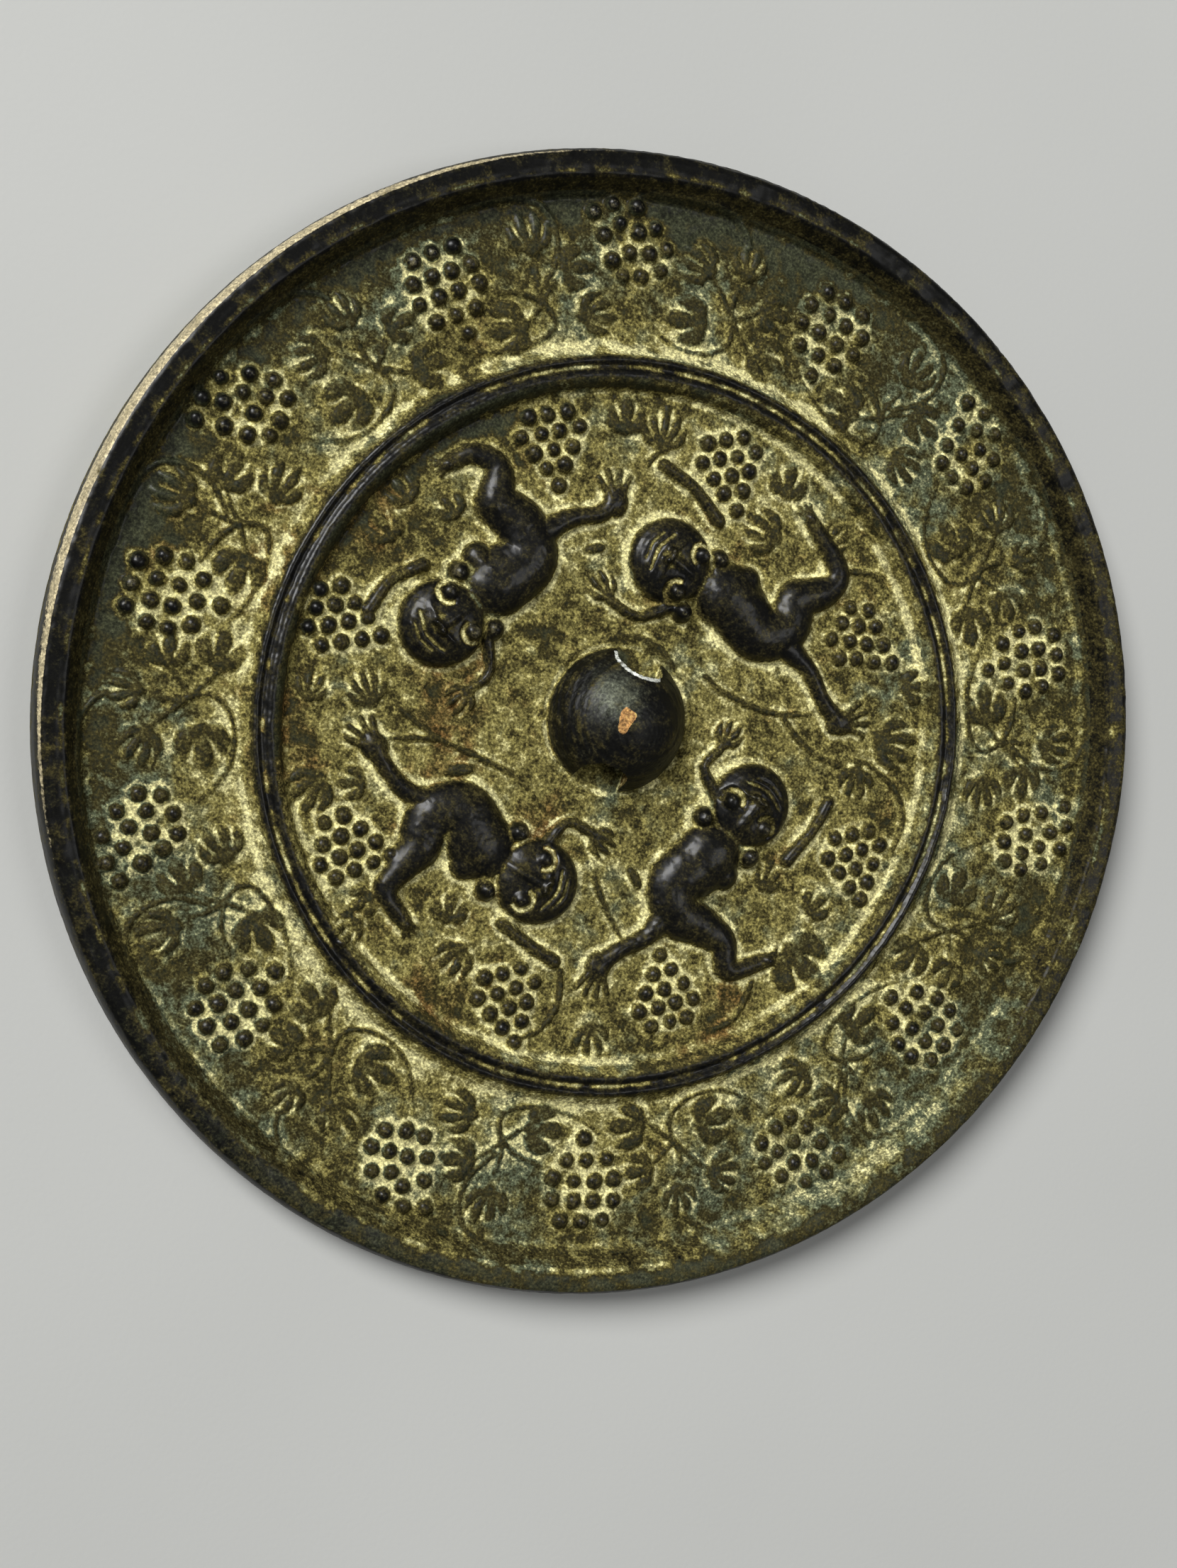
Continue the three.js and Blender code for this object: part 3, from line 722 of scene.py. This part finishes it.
def apply_modifiers(piece):
    graph = bpy.context.evaluated_depsgraph_get()
    evaluated = piece.evaluated_get(graph)
    mesh = bpy.data.meshes.new_from_object(evaluated, depsgraph=graph)
    mesh.shade_smooth()
    old = piece.data
    piece.modifiers.clear()
    piece.data = mesh
    mesh.name = piece.name
    bpy.data.meshes.remove(old)


FIELD_TRIANGLES = 196_000
RING_TRIANGLES = 90_000


def field_piece(name, surface, rings, columns, material, most):
    """A carved ring-shaped field from a list of (centre, radius) circles."""
    angles = np.linspace(0, 2 * math.pi, columns, endpoint=False)
    x = np.array([centre[0] + radius * np.cos(angles) for centre, radius in rings])
    y = np.array([centre[1] + radius * np.sin(angles) for centre, radius in rings])
    z = surface.sample(surface.height, x, y)
    places = np.stack([x, y, z], -1).reshape(-1, 3)
    layers = {key: surface.sample(getattr(surface, key), x, y) for key in LAYERS}
    faces = ring_grid(len(rings), columns)
    if rings[0][1] < 1:
        faces = np.concatenate([faces, ring_fill(0, columns)[:, ::-1]])
    piece = make_piece(name, places, faces, material, layers)
    thinned(piece, most)
    settle(piece)


def vine_border(surface, material):
    radii = np.linspace(RING_FOOT_OUT - 0.2, FIELD_EDGE + 0.9, 92)
    rings = [((0, 0), radius) for radius in radii]
    field_piece("vine_border", surface, rings, 1760, material, FIELD_TRIANGLES)


def inner_field(surface, material):
    """Rings that pass from the knob's foot to the foot of the beaded ring."""
    knob_axis, first, last = np.array([KNOB_X, KNOB_Y]), 8.4, RING_FOOT_IN + 0.3
    rings = [(knob_axis, radius) for radius in (0.3, 1.5, 3.0, 4.5, 6.0, 7.2, 7.9)]
    for share in np.linspace(0, 1, 162):
        rings.append((knob_axis * (1 - share), first + share * (last - first)))
    field_piece("beast_field", surface, rings, 1200, material, FIELD_TRIANGLES)


def beaded_ring(surface, material):
    radii = np.linspace(RING_FOOT_IN - 0.1, RING_FOOT_OUT + 0.1, 30)
    rings = [((0, 0), radius) for radius in radii]
    field_piece("beaded_ring", surface, rings, 1300, material, RING_TRIANGLES)


RIM_COLUMNS = 1300
FACE_RINGS = 28
# The azimuth round which the rim's wall and edge get a painted highlight, on the side toward the light, over
# their wear.
RIM_LIGHT_SIDE = 162

# The rings down the wall to the polished face: distance in from the edge, and height.
WALL = [
    (0.7, 6.1), (0.5, 5.75), (0.3, 5.3), (0.2, 4.8), (0.1, 4.2), (0.05, 3.6), (0, 3.1),
    (0, 2.6), (0, 2.1), (0, 1.6), (0.02, 1.2), (0.15, 0.8), (0.4, 0.4), (0.7, 0.12),
]


def rim_outline():
    """The rim's rings as (distance out, height), where no height means the carved one."""
    carved = [FIELD_EDGE + step for step in (0.6, 1.0, 1.4, 1.7)]
    carved += [RIM_CREST + step for step in (-0.3, -0.1, 0.1, 0.4, 0.8, 1.2, 1.6, 1.9)]
    carved += [RADIUS - step for step in (1.4, 1.2, 0.9)]
    outline = [(out, None) for out in carved]
    outline += [(RADIUS - inset, height) for inset, height in WALL]
    return outline + [(out, 0.0) for out in np.linspace(RADIUS - 1.0, 1.0, FACE_RINGS)]


def rim_ring(surface, out, height):
    """Places round one ring; on the wall they wander in a little, like a cast surface."""
    angles = np.linspace(0, 2 * math.pi, RIM_COLUMNS, endpoint=False)
    x, y = out * np.cos(angles), out * np.sin(angles)
    if height is None:
        return np.stack([x, y, surface.sample(surface.height, x, y)], -1)
    if height > 0:
        dent = surface.sample(surface.middle, x + 3.1 * height, y + 2.3 * height) * 0.035
        x, y = x * (1 - np.abs(dent) / RADIUS), y * (1 - np.abs(dent) / RADIUS)
    return np.stack([x, y, np.full(RIM_COLUMNS, height)], -1)


def rim_layers(surface, x, y, z):
    out, azimuth = np.hypot(x, y), np.degrees(np.arctan2(y, x)) % 360
    # Painted light: on the side toward the light, the rim's wall gets paler earth and its wall and outer edge
    # take the bright worn colour as a highlight; the edge also has real wear all round.
    painted_light = near(azimuth - RIM_LIGHT_SIDE, 38)
    carved = (z > RIM_TOP - 0.25) | (out < RIM_CREST)
    wall_earth_and_light = (0.05 + 0.3 * painted_light * (z < 3.6)) * (z > 0.1) * (out > RADIUS - 2)
    dust_and_painted_light = np.where(carved, surface.sample(surface.dust_and_painted_light, x, y), wall_earth_and_light)
    edge = near(out - RADIUS + 0.8, 0.22) * (z > RIM_TOP - 1)
    wall = (out > RADIUS - 0.8) * smoothstep(3.2, 5.2, z)
    earthed = near(azimuth - 300, 48) * (z > RIM_TOP - 0.4)
    spots = surface.sample(surface.broad, -x, y) + 0.5 * surface.sample(surface.middle, -x, y)
    spots = smoothstep(0.6, 2.2, spots)
    return {
        "dust_and_painted_light": np.where(z > 0, dust_and_painted_light, 0.7 * spots),
        "tint": surface.sample(surface.tint, x, y),
        "wear_and_painted_highlight": painted_light * (3.0 * edge + 1.8 * wall * (1 - edge)) + 0.5 * edge,
        "polish_and_painted_light": np.where(z > 0, 1 - 0.75 * earthed, 1 - 0.8 * spots),
    }


def rim(surface, material, face_material):
    """The rim with its inner slope, wall and the polished face, as one turned shell."""
    outline = rim_outline()
    places = np.array([rim_ring(surface, out, height) for out, height in outline]).reshape(-1, 3)
    faces = np.concatenate([
        ring_grid(len(outline), RIM_COLUMNS),
        ring_fill((len(outline) - 1) * RIM_COLUMNS, RIM_COLUMNS),
    ])
    piece = make_piece("rim_and_face", places, faces, material, rim_layers(surface, *places.T))
    piece.data.materials.append(face_material)
    slots = np.zeros(len(faces), np.int32)
    slots[(len(outline) - FACE_RINGS) * RIM_COLUMNS:] = 1
    piece.data.polygons.foreach_set("material_index", slots)
    settle(piece)


def bored_dome():
    """A ball's cap with an arched hole bored through it, its edges rounded by wear."""
    dome = ball_cap(KNOB_BALL, KNOB_CENTRE_Z, INNER_FIELD - 0.6)
    tunnel = arch_solid()
    cut = dome.modifiers.new("hole", "BOOLEAN")
    cut.object = tunnel
    cut.operation = "DIFFERENCE"
    cut.solver = "EXACT"
    apply_modifiers(dome)
    bpy.data.objects.remove(tunnel)
    evened = dome.modifiers.new("even", "REMESH")
    evened.mode = "VOXEL"
    evened.voxel_size = 0.15 * MM
    worn = dome.modifiers.new("worn", "SMOOTH")
    worn.factor = 0.5
    worn.iterations = 14
    apply_modifiers(dome)
    return dome


def knob(surface, material):
    dome = bored_dome()
    mesh = dome.data
    count = len(mesh.vertices)
    places = np.empty(count * 3, np.float32)
    normals = np.empty(count * 3, np.float32)
    mesh.vertices.foreach_get("co", places)
    mesh.vertex_normals.foreach_get("vector", normals)
    places, normals = places.reshape(-1, 3) / MM, normals.reshape(-1, 3)
    x, y, z = places.T
    across = surface.sample(surface.middle, x + 3 * z, y + 2 * z)
    grain = surface.sample(surface.fine, x * 1.3 + 5 * z, y * 1.3 - 4 * z)
    places = places + normals * (0.03 * across + 0.012 * grain - 0.02)[:, None]
    places[:, 2] = np.minimum(places[:, 2], CREST)
    mesh.vertices.foreach_set("co", (places * MM).astype(np.float32).ravel())
    add_layers(mesh, knob_layers(x, y, z, across))
    mesh.materials.clear()
    mesh.materials.append(material)
    mesh.shade_smooth()
    settle(dome)


def knob_layers(x, y, z, across):
    """Black and worn, with earth at the foot and in the hole, a bright lip and one bare spot; the lip's
    brightness is wear and a painted highlight, a painted sheen lies at the upper left, and painted shade
    darkens the hole's left side.
    """
    inside = np.hypot(np.hypot(x - KNOB_X, y - KNOB_Y), z - KNOB_CENTRE_Z) < KNOB_BALL - 0.35
    foot = 1 - smoothstep(INNER_FIELD + 0.1, INNER_FIELD + 0.9, z)
    arch_rise = np.maximum(z - HOLE_SPRING, 0) / (HOLE_CROWN - HOLE_SPRING)
    arch = np.hypot((x - KNOB_X) / HOLE_HALF, arch_rise)
    # Painted highlight: the hole's upper lip is painted near white, over its wear.
    lip_wear_and_highlight = near(arch - 1.08, 0.12) * (y > 4) * (x < KNOB_X + 2.4) * (z > 4.4)
    spot = np.hypot((x - KNOB_X + 0.9) / 0.9, (y - KNOB_Y) / 1.35) + 0.25 * across
    # Painted shade: the left of the hole, which the light does not reach, gets less earth and stays dark.
    hole_earth_and_shade = 0.15 + 0.5 * smoothstep(-1.2, 1.2, x - KNOB_X)
    # Painted sheen: a broad paler patch at the upper left, where the light's reflection falls.
    painted_sheen = np.exp(-((x + 3.6) ** 2 + (y - 3.2) ** 2) / 7)
    upper_half = inside & (y > KNOB_Y)
    return {
        "dust_and_painted_light": np.clip(np.where(inside, hole_earth_and_shade, 0.04) + foot * 0.6 + 0.05 * across, 0, 1),
        "wear_and_painted_highlight": np.where(inside, 0.0, 0.35 + 1.8 * lip_wear_and_highlight),
        "bare": (1 - smoothstep(0.75, 1.1, spot)) * (~inside),
        "tint": np.where(inside, -0.8, 0.0) + 0.6 * upper_half,
        "polish_and_painted_light": np.where(inside, 0.2, 1.0 - 0.75 * painted_sheen),
    }


def ball_cap(ball, centre_z, foot):
    """A closed cap of a ball, standing on a flat foot."""
    columns, rows = 96, 24
    rises = np.linspace(math.asin((foot - centre_z) / ball), math.pi / 2, rows, endpoint=False)
    angles = np.linspace(0, 2 * math.pi, columns, endpoint=False)
    places = [[KNOB_X + ball * math.cos(rise) * math.cos(a),
               KNOB_Y + ball * math.cos(rise) * math.sin(a),
               centre_z + ball * math.sin(rise)] for rise in rises for a in angles]
    places += [[KNOB_X, KNOB_Y, centre_z + ball], [KNOB_X, KNOB_Y, foot]]
    top, bottom = len(places) - 2, len(places) - 1
    faces = ring_grid(rows, columns)[:, ::-1].tolist()
    last = (rows - 1) * columns
    for column in range(columns):
        following = (column + 1) % columns
        faces.append((last + column, last + following, top))
        faces.append((following, column, bottom))
    return loose_object("knob", places, faces)


def arch_solid():
    """The hole as a long solid with an arched top, to be cut out of the knob."""
    rise, reach = HOLE_CROWN - HOLE_SPRING, 15
    outline = [(KNOB_X + HOLE_HALF * math.cos(a), HOLE_SPRING + rise * math.sin(a))
               for a in np.linspace(0, math.pi, 25)]
    outline += [(KNOB_X - HOLE_HALF, 0.0), (KNOB_X + HOLE_HALF, 0.0)]
    count = len(outline)
    places = [[x, KNOB_Y + end, z] for end in (-reach, reach) for x, z in outline]
    faces = [tuple(range(count)), tuple(range(2 * count - 1, count - 1, -1))]
    for index in range(count):
        following = (index + 1) % count
        faces.append((following, index, count + index, count + following))
    return loose_object("hole", places, faces)


def loose_object(name, places, faces):
    mesh = bpy.data.meshes.new(name)
    mesh.from_pydata([[c * MM for c in place] for place in places], [], faces)
    mesh.update()
    return placed(name, mesh)


# ---------------------------------------------------------------- finishes

def linear(red, green, blue):
    """Scene colour from the 0 to 255 numbers of a screen colour."""
    def one(value):
        value /= 255
        return value / 12.92 if value <= 0.04045 else ((value + 0.055) / 1.055) ** 2.4
    return (one(red), one(green), one(blue), 1.0)


BRONZE_DARK = linear(10, 10, 7)
FACE_GREY = linear(74, 78, 70)
RIM_GREEN = linear(80, 83, 62)
# The knob's patina, also used as the colour of its painted sheen.
KNOB_PATINA_AND_SHEEN = linear(104, 108, 92)
RIM_DARK = linear(7, 7, 4)
BRONZE_GREEN = linear(66, 69, 49)
# Worn relief tops, partly standing in for glints as a painted highlight.
WORN_AND_HIGHLIGHT = linear(122, 116, 90)
EARTH_DEEP = linear(66, 60, 32)
EARTH_OCHRE = linear(138, 129, 74)
EARTH_PALE = linear(222, 215, 156)
GREY_GREEN = linear(97, 104, 80)
RUST = linear(124, 94, 52)
BRASS = linear(216, 166, 104)
# The lip of the knob's hole: wear, painted near white as a highlight.
LIP_WEAR_AND_HIGHLIGHT = linear(246, 250, 240)
# Worn rim edge, also the colour of the painted highlight on its lit side.
CHAMFER_WEAR_AND_HIGHLIGHT = linear(206, 192, 154)
PAPER_COOL = linear(216, 217, 213)
PAPER_WARM = linear(222, 223, 219)


class Nodes:
    """Short calls for building a node tree."""

    def __init__(self, tree):
        self.tree = tree

    def add(self, kind, **values):
        node = self.tree.nodes.new(kind)
        for key, value in values.items():
            setattr(node, key, value)
        return node

    def feed(self, socket, value):
        """A socket takes a plain number or colour, or a link from another node."""
        if isinstance(value, (int, float, tuple)):
            socket.default_value = value
        else:
            self.tree.links.new(value, socket)

    def noise(self, place, scale, detail, roughness):
        node = self.add("ShaderNodeTexNoise")
        self.feed(node.inputs["Vector"], place)
        self.feed(node.inputs["Scale"], scale)
        self.feed(node.inputs["Detail"], detail)
        self.feed(node.inputs["Roughness"], roughness)
        return node.outputs["Fac"]

    def math(self, operation, *values):
        node = self.add("ShaderNodeMath", operation=operation)
        for socket, value in zip(node.inputs, values):
            self.feed(socket, value)
        return node.outputs[0]

    def swing(self, noise, strength, base):
        """The base, moved up and down by a noise whose middle is a half."""
        return self.math("MULTIPLY_ADD", self.math("SUBTRACT", noise, 0.5), strength, base)

    def ramp(self, value, low, high):
        node = self.add("ShaderNodeMapRange", interpolation_type="SMOOTHSTEP")
        self.feed(node.inputs["Value"], value)
        self.feed(node.inputs["From Min"], low)
        self.feed(node.inputs["From Max"], high)
        return node.outputs["Result"]

    def scaled(self, colour, factor):
        node = self.add("ShaderNodeVectorMath", operation="SCALE")
        self.feed(node.inputs[0], colour)
        self.feed(node.inputs["Scale"], factor)
        return node.outputs[0]

    def mix(self, factor, first, second):
        node = self.add("ShaderNodeMix", data_type="RGBA")
        self.feed(node.inputs["Factor"], factor)
        self.feed(node.inputs[6], first)
        self.feed(node.inputs[7], second)
        return node.outputs[2]


def open_group(name, inputs, outputs):
    """A new node group with its sockets: inputs as (name, start value), outputs as (name, kind)."""
    tree = bpy.data.node_groups.new(name, "ShaderNodeTree")
    for key, value in inputs:
        kind = "Color" if isinstance(value, tuple) else "Float"
        socket = tree.interface.new_socket(key, in_out="INPUT", socket_type="NodeSocket" + kind)
        socket.default_value = value
    for key, kind in outputs:
        tree.interface.new_socket(key, in_out="OUTPUT", socket_type="NodeSocket" + kind)
    return tree


# Noise sizes, as scales in turns per metre, from the finest grain to broad clouds.
GRAIN_SCALE = 3100
SPECK_SCALE = 1150
BLOTCH_SCALE = 330
CLOUD_SCALE = 70
# How many times lighter or darker a whole step of grain makes the colour, and its upper bound.
GRAIN_CONTRAST = 3.0
LIGHTEST_GRAIN = 0.8


def buried_bronze_group():
    """Old bronze with earth over it: colour, roughness, metal and height from the state of each place."""
    tree = open_group("buried_bronze", [
        ("Dust_And_Painted_Light", 0.5), ("Wear_And_Painted_Highlight", 0.0), ("Tint", 0.0), ("Earth Amount", 1.0),
        ("Metal Colour", BRONZE_DARK), ("Patina And Sheen Colour", BRONZE_GREEN), ("Worn And Highlight Colour", WORN_AND_HIGHLIGHT),
        ("Bare", 0.0), ("Bare Colour", BRASS), ("Polish_And_Painted_Light", 1.0), ("Shine", 0.5),
    ], [
        ("Color", "Color"), ("Roughness", "Float"), ("Metallic", "Float"), ("Coat", "Float"),
        ("Height", "Float"),
    ])
    n = Nodes(tree)
    source = n.add("NodeGroupInput").outputs
    target = n.add("NodeGroupOutput").inputs
    place = n.add("ShaderNodeTexCoord").outputs["Object"]
    grain = n.noise(place, GRAIN_SCALE, 2, 0.6)
    speck = n.noise(place, SPECK_SCALE, 4, 0.65)
    blotch = n.noise(place, BLOTCH_SCALE, 4, 0.6)
    cloud = n.noise(place, CLOUD_SCALE, 3, 0.6)
    mottle = n.swing(blotch, 0.9, n.swing(speck, 0.9, n.swing(grain, 0.45, 0.0)))

    # How far each place is covered with earth.
    amount = n.math("MULTIPLY", source["Dust_And_Painted_Light"], source["Earth Amount"])
    cover = n.math("MULTIPLY_ADD", mottle, n.ramp(amount, -0.25, 0.5), amount)
    earthy = n.ramp(cover, 0.04, 0.3)
    open_metal = n.math("SUBTRACT", 1.0, earthy)

    # Black metal on the polished heights, patina lower down, and wear on the edges; the same values also
    # carry painted shade, a painted sheen and painted highlights.
    patina_and_sheen = n.math("MULTIPLY_ADD", mottle, 0.5, n.math("SUBTRACT", 1.1, source["Polish_And_Painted_Light"]))
    metal = n.mix(n.ramp(patina_and_sheen, 0.1, 0.9), source["Metal Colour"], source["Patina And Sheen Colour"])
    worn = n.ramp(n.math("MULTIPLY_ADD", mottle, 0.9, source["Wear_And_Painted_Highlight"]), 0.95, 1.4)
    metal = n.mix(worn, metal, source["Worn And Highlight Colour"])

    # Earth from deep brown through ochre, grey green or rust to pale.
    drift = n.swing(cloud, 2.2, n.swing(blotch, 2.4, source["Tint"]))
    ochre = n.mix(n.ramp(drift, 0.1, 0.9), EARTH_OCHRE, GREY_GREEN)
    ochre = n.mix(n.ramp(n.math("MULTIPLY", drift, -1.0), 0.15, 1.0), ochre, RUST)
    colour = n.mix(n.ramp(cover, 0.0, 0.25), metal, EARTH_DEEP)
    colour = n.mix(n.ramp(cover, 0.2, 0.6), colour, ochre)
    colour = n.mix(n.ramp(cover, 0.55, 1.1), colour, EARTH_PALE)

    bare = n.math("MULTIPLY", source["Bare"], n.math("MULTIPLY_ADD", mottle, 2.5, 1.0))
    bare = n.ramp(bare, 0.4, 0.8)
    colour = n.mix(bare, colour, source["Bare Colour"])
    shade = n.math("MINIMUM", n.swing(grain, 3.4, n.swing(speck, 2.2, 0.0)), LIGHTEST_GRAIN)
    colour = n.scaled(colour, n.math("POWER", GRAIN_CONTRAST, shade))

    smooth = n.math("SUBTRACT", 0.78, n.math("MULTIPLY", source["Shine"], 0.45))
    smooth = n.swing(speck, 0.5, smooth)
    dry = n.math("MULTIPLY", earthy, n.math("SUBTRACT", 0.95, smooth))
    gloss = n.math("MULTIPLY", source["Polish_And_Painted_Light"], source["Shine"])
    clean = n.math("MULTIPLY", open_metal, 0.15)
    n.feed(target["Color"], colour)
    n.feed(target["Roughness"], n.math("ADD", smooth, dry))
    n.feed(target["Coat"], n.math("MULTIPLY", open_metal, gloss))
    n.feed(target["Metallic"], n.math("MAXIMUM", clean, n.math("MULTIPLY", bare, 0.85)))
    n.feed(target["Height"], n.math("MULTIPLY_ADD", speck, 0.7, n.math("MULTIPLY", grain, 0.45)))
    return tree


def new_material(name):
    """A material with its shader, and the calls for adding to its tree."""
    material = bpy.data.materials.new(name)
    material.use_nodes = True
    n = Nodes(material.node_tree)
    return material, n, n.tree.nodes["Principled BSDF"].inputs


def bumped(n, height, strength, depth):
    """A normal from a height, for a depth in millimetres."""
    bump = n.add("ShaderNodeBump")
    n.feed(bump.inputs["Strength"], strength)
    n.feed(bump.inputs["Distance"], depth * MM)
    n.feed(bump.inputs["Height"], height)
    return bump.outputs["Normal"]


def bronze_material(name, group, values, layers=LAYERS, bump=0.7, gloss=0.3):
    material, n, shader = new_material(name)
    n.feed(shader["Specular IOR Level"], 0.12)
    n.feed(shader["Coat Roughness"], gloss)
    n.feed(shader["Coat IOR"], 1.6)
    finish = n.add("ShaderNodeGroup", node_tree=group)
    for key in layers:
        reading = n.add("ShaderNodeAttribute", attribute_name=key)
        n.feed(finish.inputs[key.title()], reading.outputs["Fac"])
    for key, value in values.items():
        n.feed(finish.inputs[key], value)
    n.feed(shader["Base Color"], finish.outputs["Color"])
    n.feed(shader["Roughness"], finish.outputs["Roughness"])
    n.feed(shader["Metallic"], finish.outputs["Metallic"])
    n.feed(shader["Coat Weight"], finish.outputs["Coat"])
    n.feed(shader["Normal"], bumped(n, finish.outputs["Height"], bump, 0.12))
    return material


def paper_material():
    material, n, shader = new_material("pale_paper")
    place = n.add("ShaderNodeTexCoord").outputs["Object"]
    tone = n.ramp(n.noise(place, 9, 2, 0.5), 0.3, 0.7)
    n.feed(shader["Base Color"], n.mix(tone, PAPER_COOL, PAPER_WARM))
    n.feed(shader["Roughness"], 0.9)
    n.feed(shader["Normal"], bumped(n, n.noise(place, 1500, 2, 0.5), 0.15, 0.1))
    return material


# ---------------------------------------------------------------- camera, floor and light

# The camera looks nearly straight down; the shift is the mirror's middle in the camera's frame.
PITCH = math.radians(3.6)
YAW = math.radians(17.5295)
PLAN_TURN = math.radians(20)
CAMERA_SHIFT = Vector((0.0390498, 0.0984407, -3.7780189)) * RADIUS * MM
SENSOR = 36
LENS = SENSOR * 3000 / 2212


def camera():
    data = bpy.data.cameras.new("camera")
    data.sensor_width = SENSOR
    data.lens = LENS
    data.clip_start = 0.01
    data.clip_end = 10
    tilt = (Matrix.Rotation(PITCH, 3, "X") @ Matrix.Rotation(YAW, 3, "Y")).transposed()
    tilt = Matrix.Rotation(PLAN_TURN, 3, "Z") @ tilt
    view = placed("camera", data)
    view.matrix_world = Matrix.Translation(tilt @ -CAMERA_SHIFT) @ tilt.to_4x4()
    bpy.context.scene.camera = view


def floor(material):
    size = 1.2
    mesh = bpy.data.meshes.new("paper")
    corners = [(-size, -size, 0), (size, -size, 0), (size, size, 0), (-size, size, 0)]
    mesh.from_pydata(corners, [], [(0, 1, 2, 3)])
    mesh.materials.append(material)
    placed("paper", mesh)


def area_light(name, azimuth, elevation, distance, size, power):
    """A round soft light aimed at the mirror's middle."""
    data = bpy.data.lights.new(name, "AREA")
    data.shape = "DISK"
    data.size = size
    data.energy = power
    lamp = placed(name, data)
    flat = polar(distance * math.cos(math.radians(elevation)), azimuth)
    lamp.location = (flat[0], flat[1], distance * math.sin(math.radians(elevation)))
    lamp.rotation_euler = Vector(lamp.location).to_track_quat("Z", "Y").to_euler()


def lights():
    world = bpy.data.worlds.new("studio")
    world.use_nodes = True
    sky = world.node_tree.nodes["Background"].inputs
    sky["Color"].default_value = (1, 1, 1, 1)
    sky["Strength"].default_value = 0.09
    bpy.context.scene.world = world
    area_light("window", azimuth=155, elevation=44, distance=2.2, size=1.1, power=42)
    area_light("fill", azimuth=10, elevation=60, distance=1.6, size=0.8, power=3)


# ---------------------------------------------------------------- the mirror

def carve():
    relief = Relief()
    border_bunches(relief)
    sprays(relief)
    inner_vines(relief)
    for shape in BEASTS:
        beast(relief, shape)
    inner_bunches(relief)
    return Surface(relief)


camera()
bpy.context.scene.view_settings.view_transform = "Standard"
surface = carve()
buried_bronze = buried_bronze_group()
field_bronze = bronze_material("earthed_bronze", buried_bronze, {"Shine": 0.5})
# The rim's worn colour also paints the highlight on its lit edge.
rim_bronze = bronze_material("rim_bronze", buried_bronze, {
    "Shine": 0.3, "Metal Colour": RIM_DARK, "Patina And Sheen Colour": RIM_GREEN, "Worn And Highlight Colour": CHAMFER_WEAR_AND_HIGHLIGHT})
# The knob's patina colour also paints its sheen, and its worn colour the lip's highlight.
knob_bronze = bronze_material("knob_bronze", buried_bronze, {
    "Shine": 0.4, "Patina And Sheen Colour": KNOB_PATINA_AND_SHEEN, "Worn And Highlight Colour": LIP_WEAR_AND_HIGHLIGHT,
}, layers=LAYERS + ("bare",), bump=0.35, gloss=0.4)
face_bronze = bronze_material("face_bronze", buried_bronze, {
    "Earth Amount": 0.5, "Shine": 0.9, "Metal Colour": FACE_GREY, "Patina And Sheen Colour": BRONZE_GREEN})
vine_border(surface, field_bronze)
inner_field(surface, field_bronze)
beaded_ring(surface, field_bronze)
rim(surface, rim_bronze, face_bronze)
knob(surface, knob_bronze)
floor(paper_material())
lights()
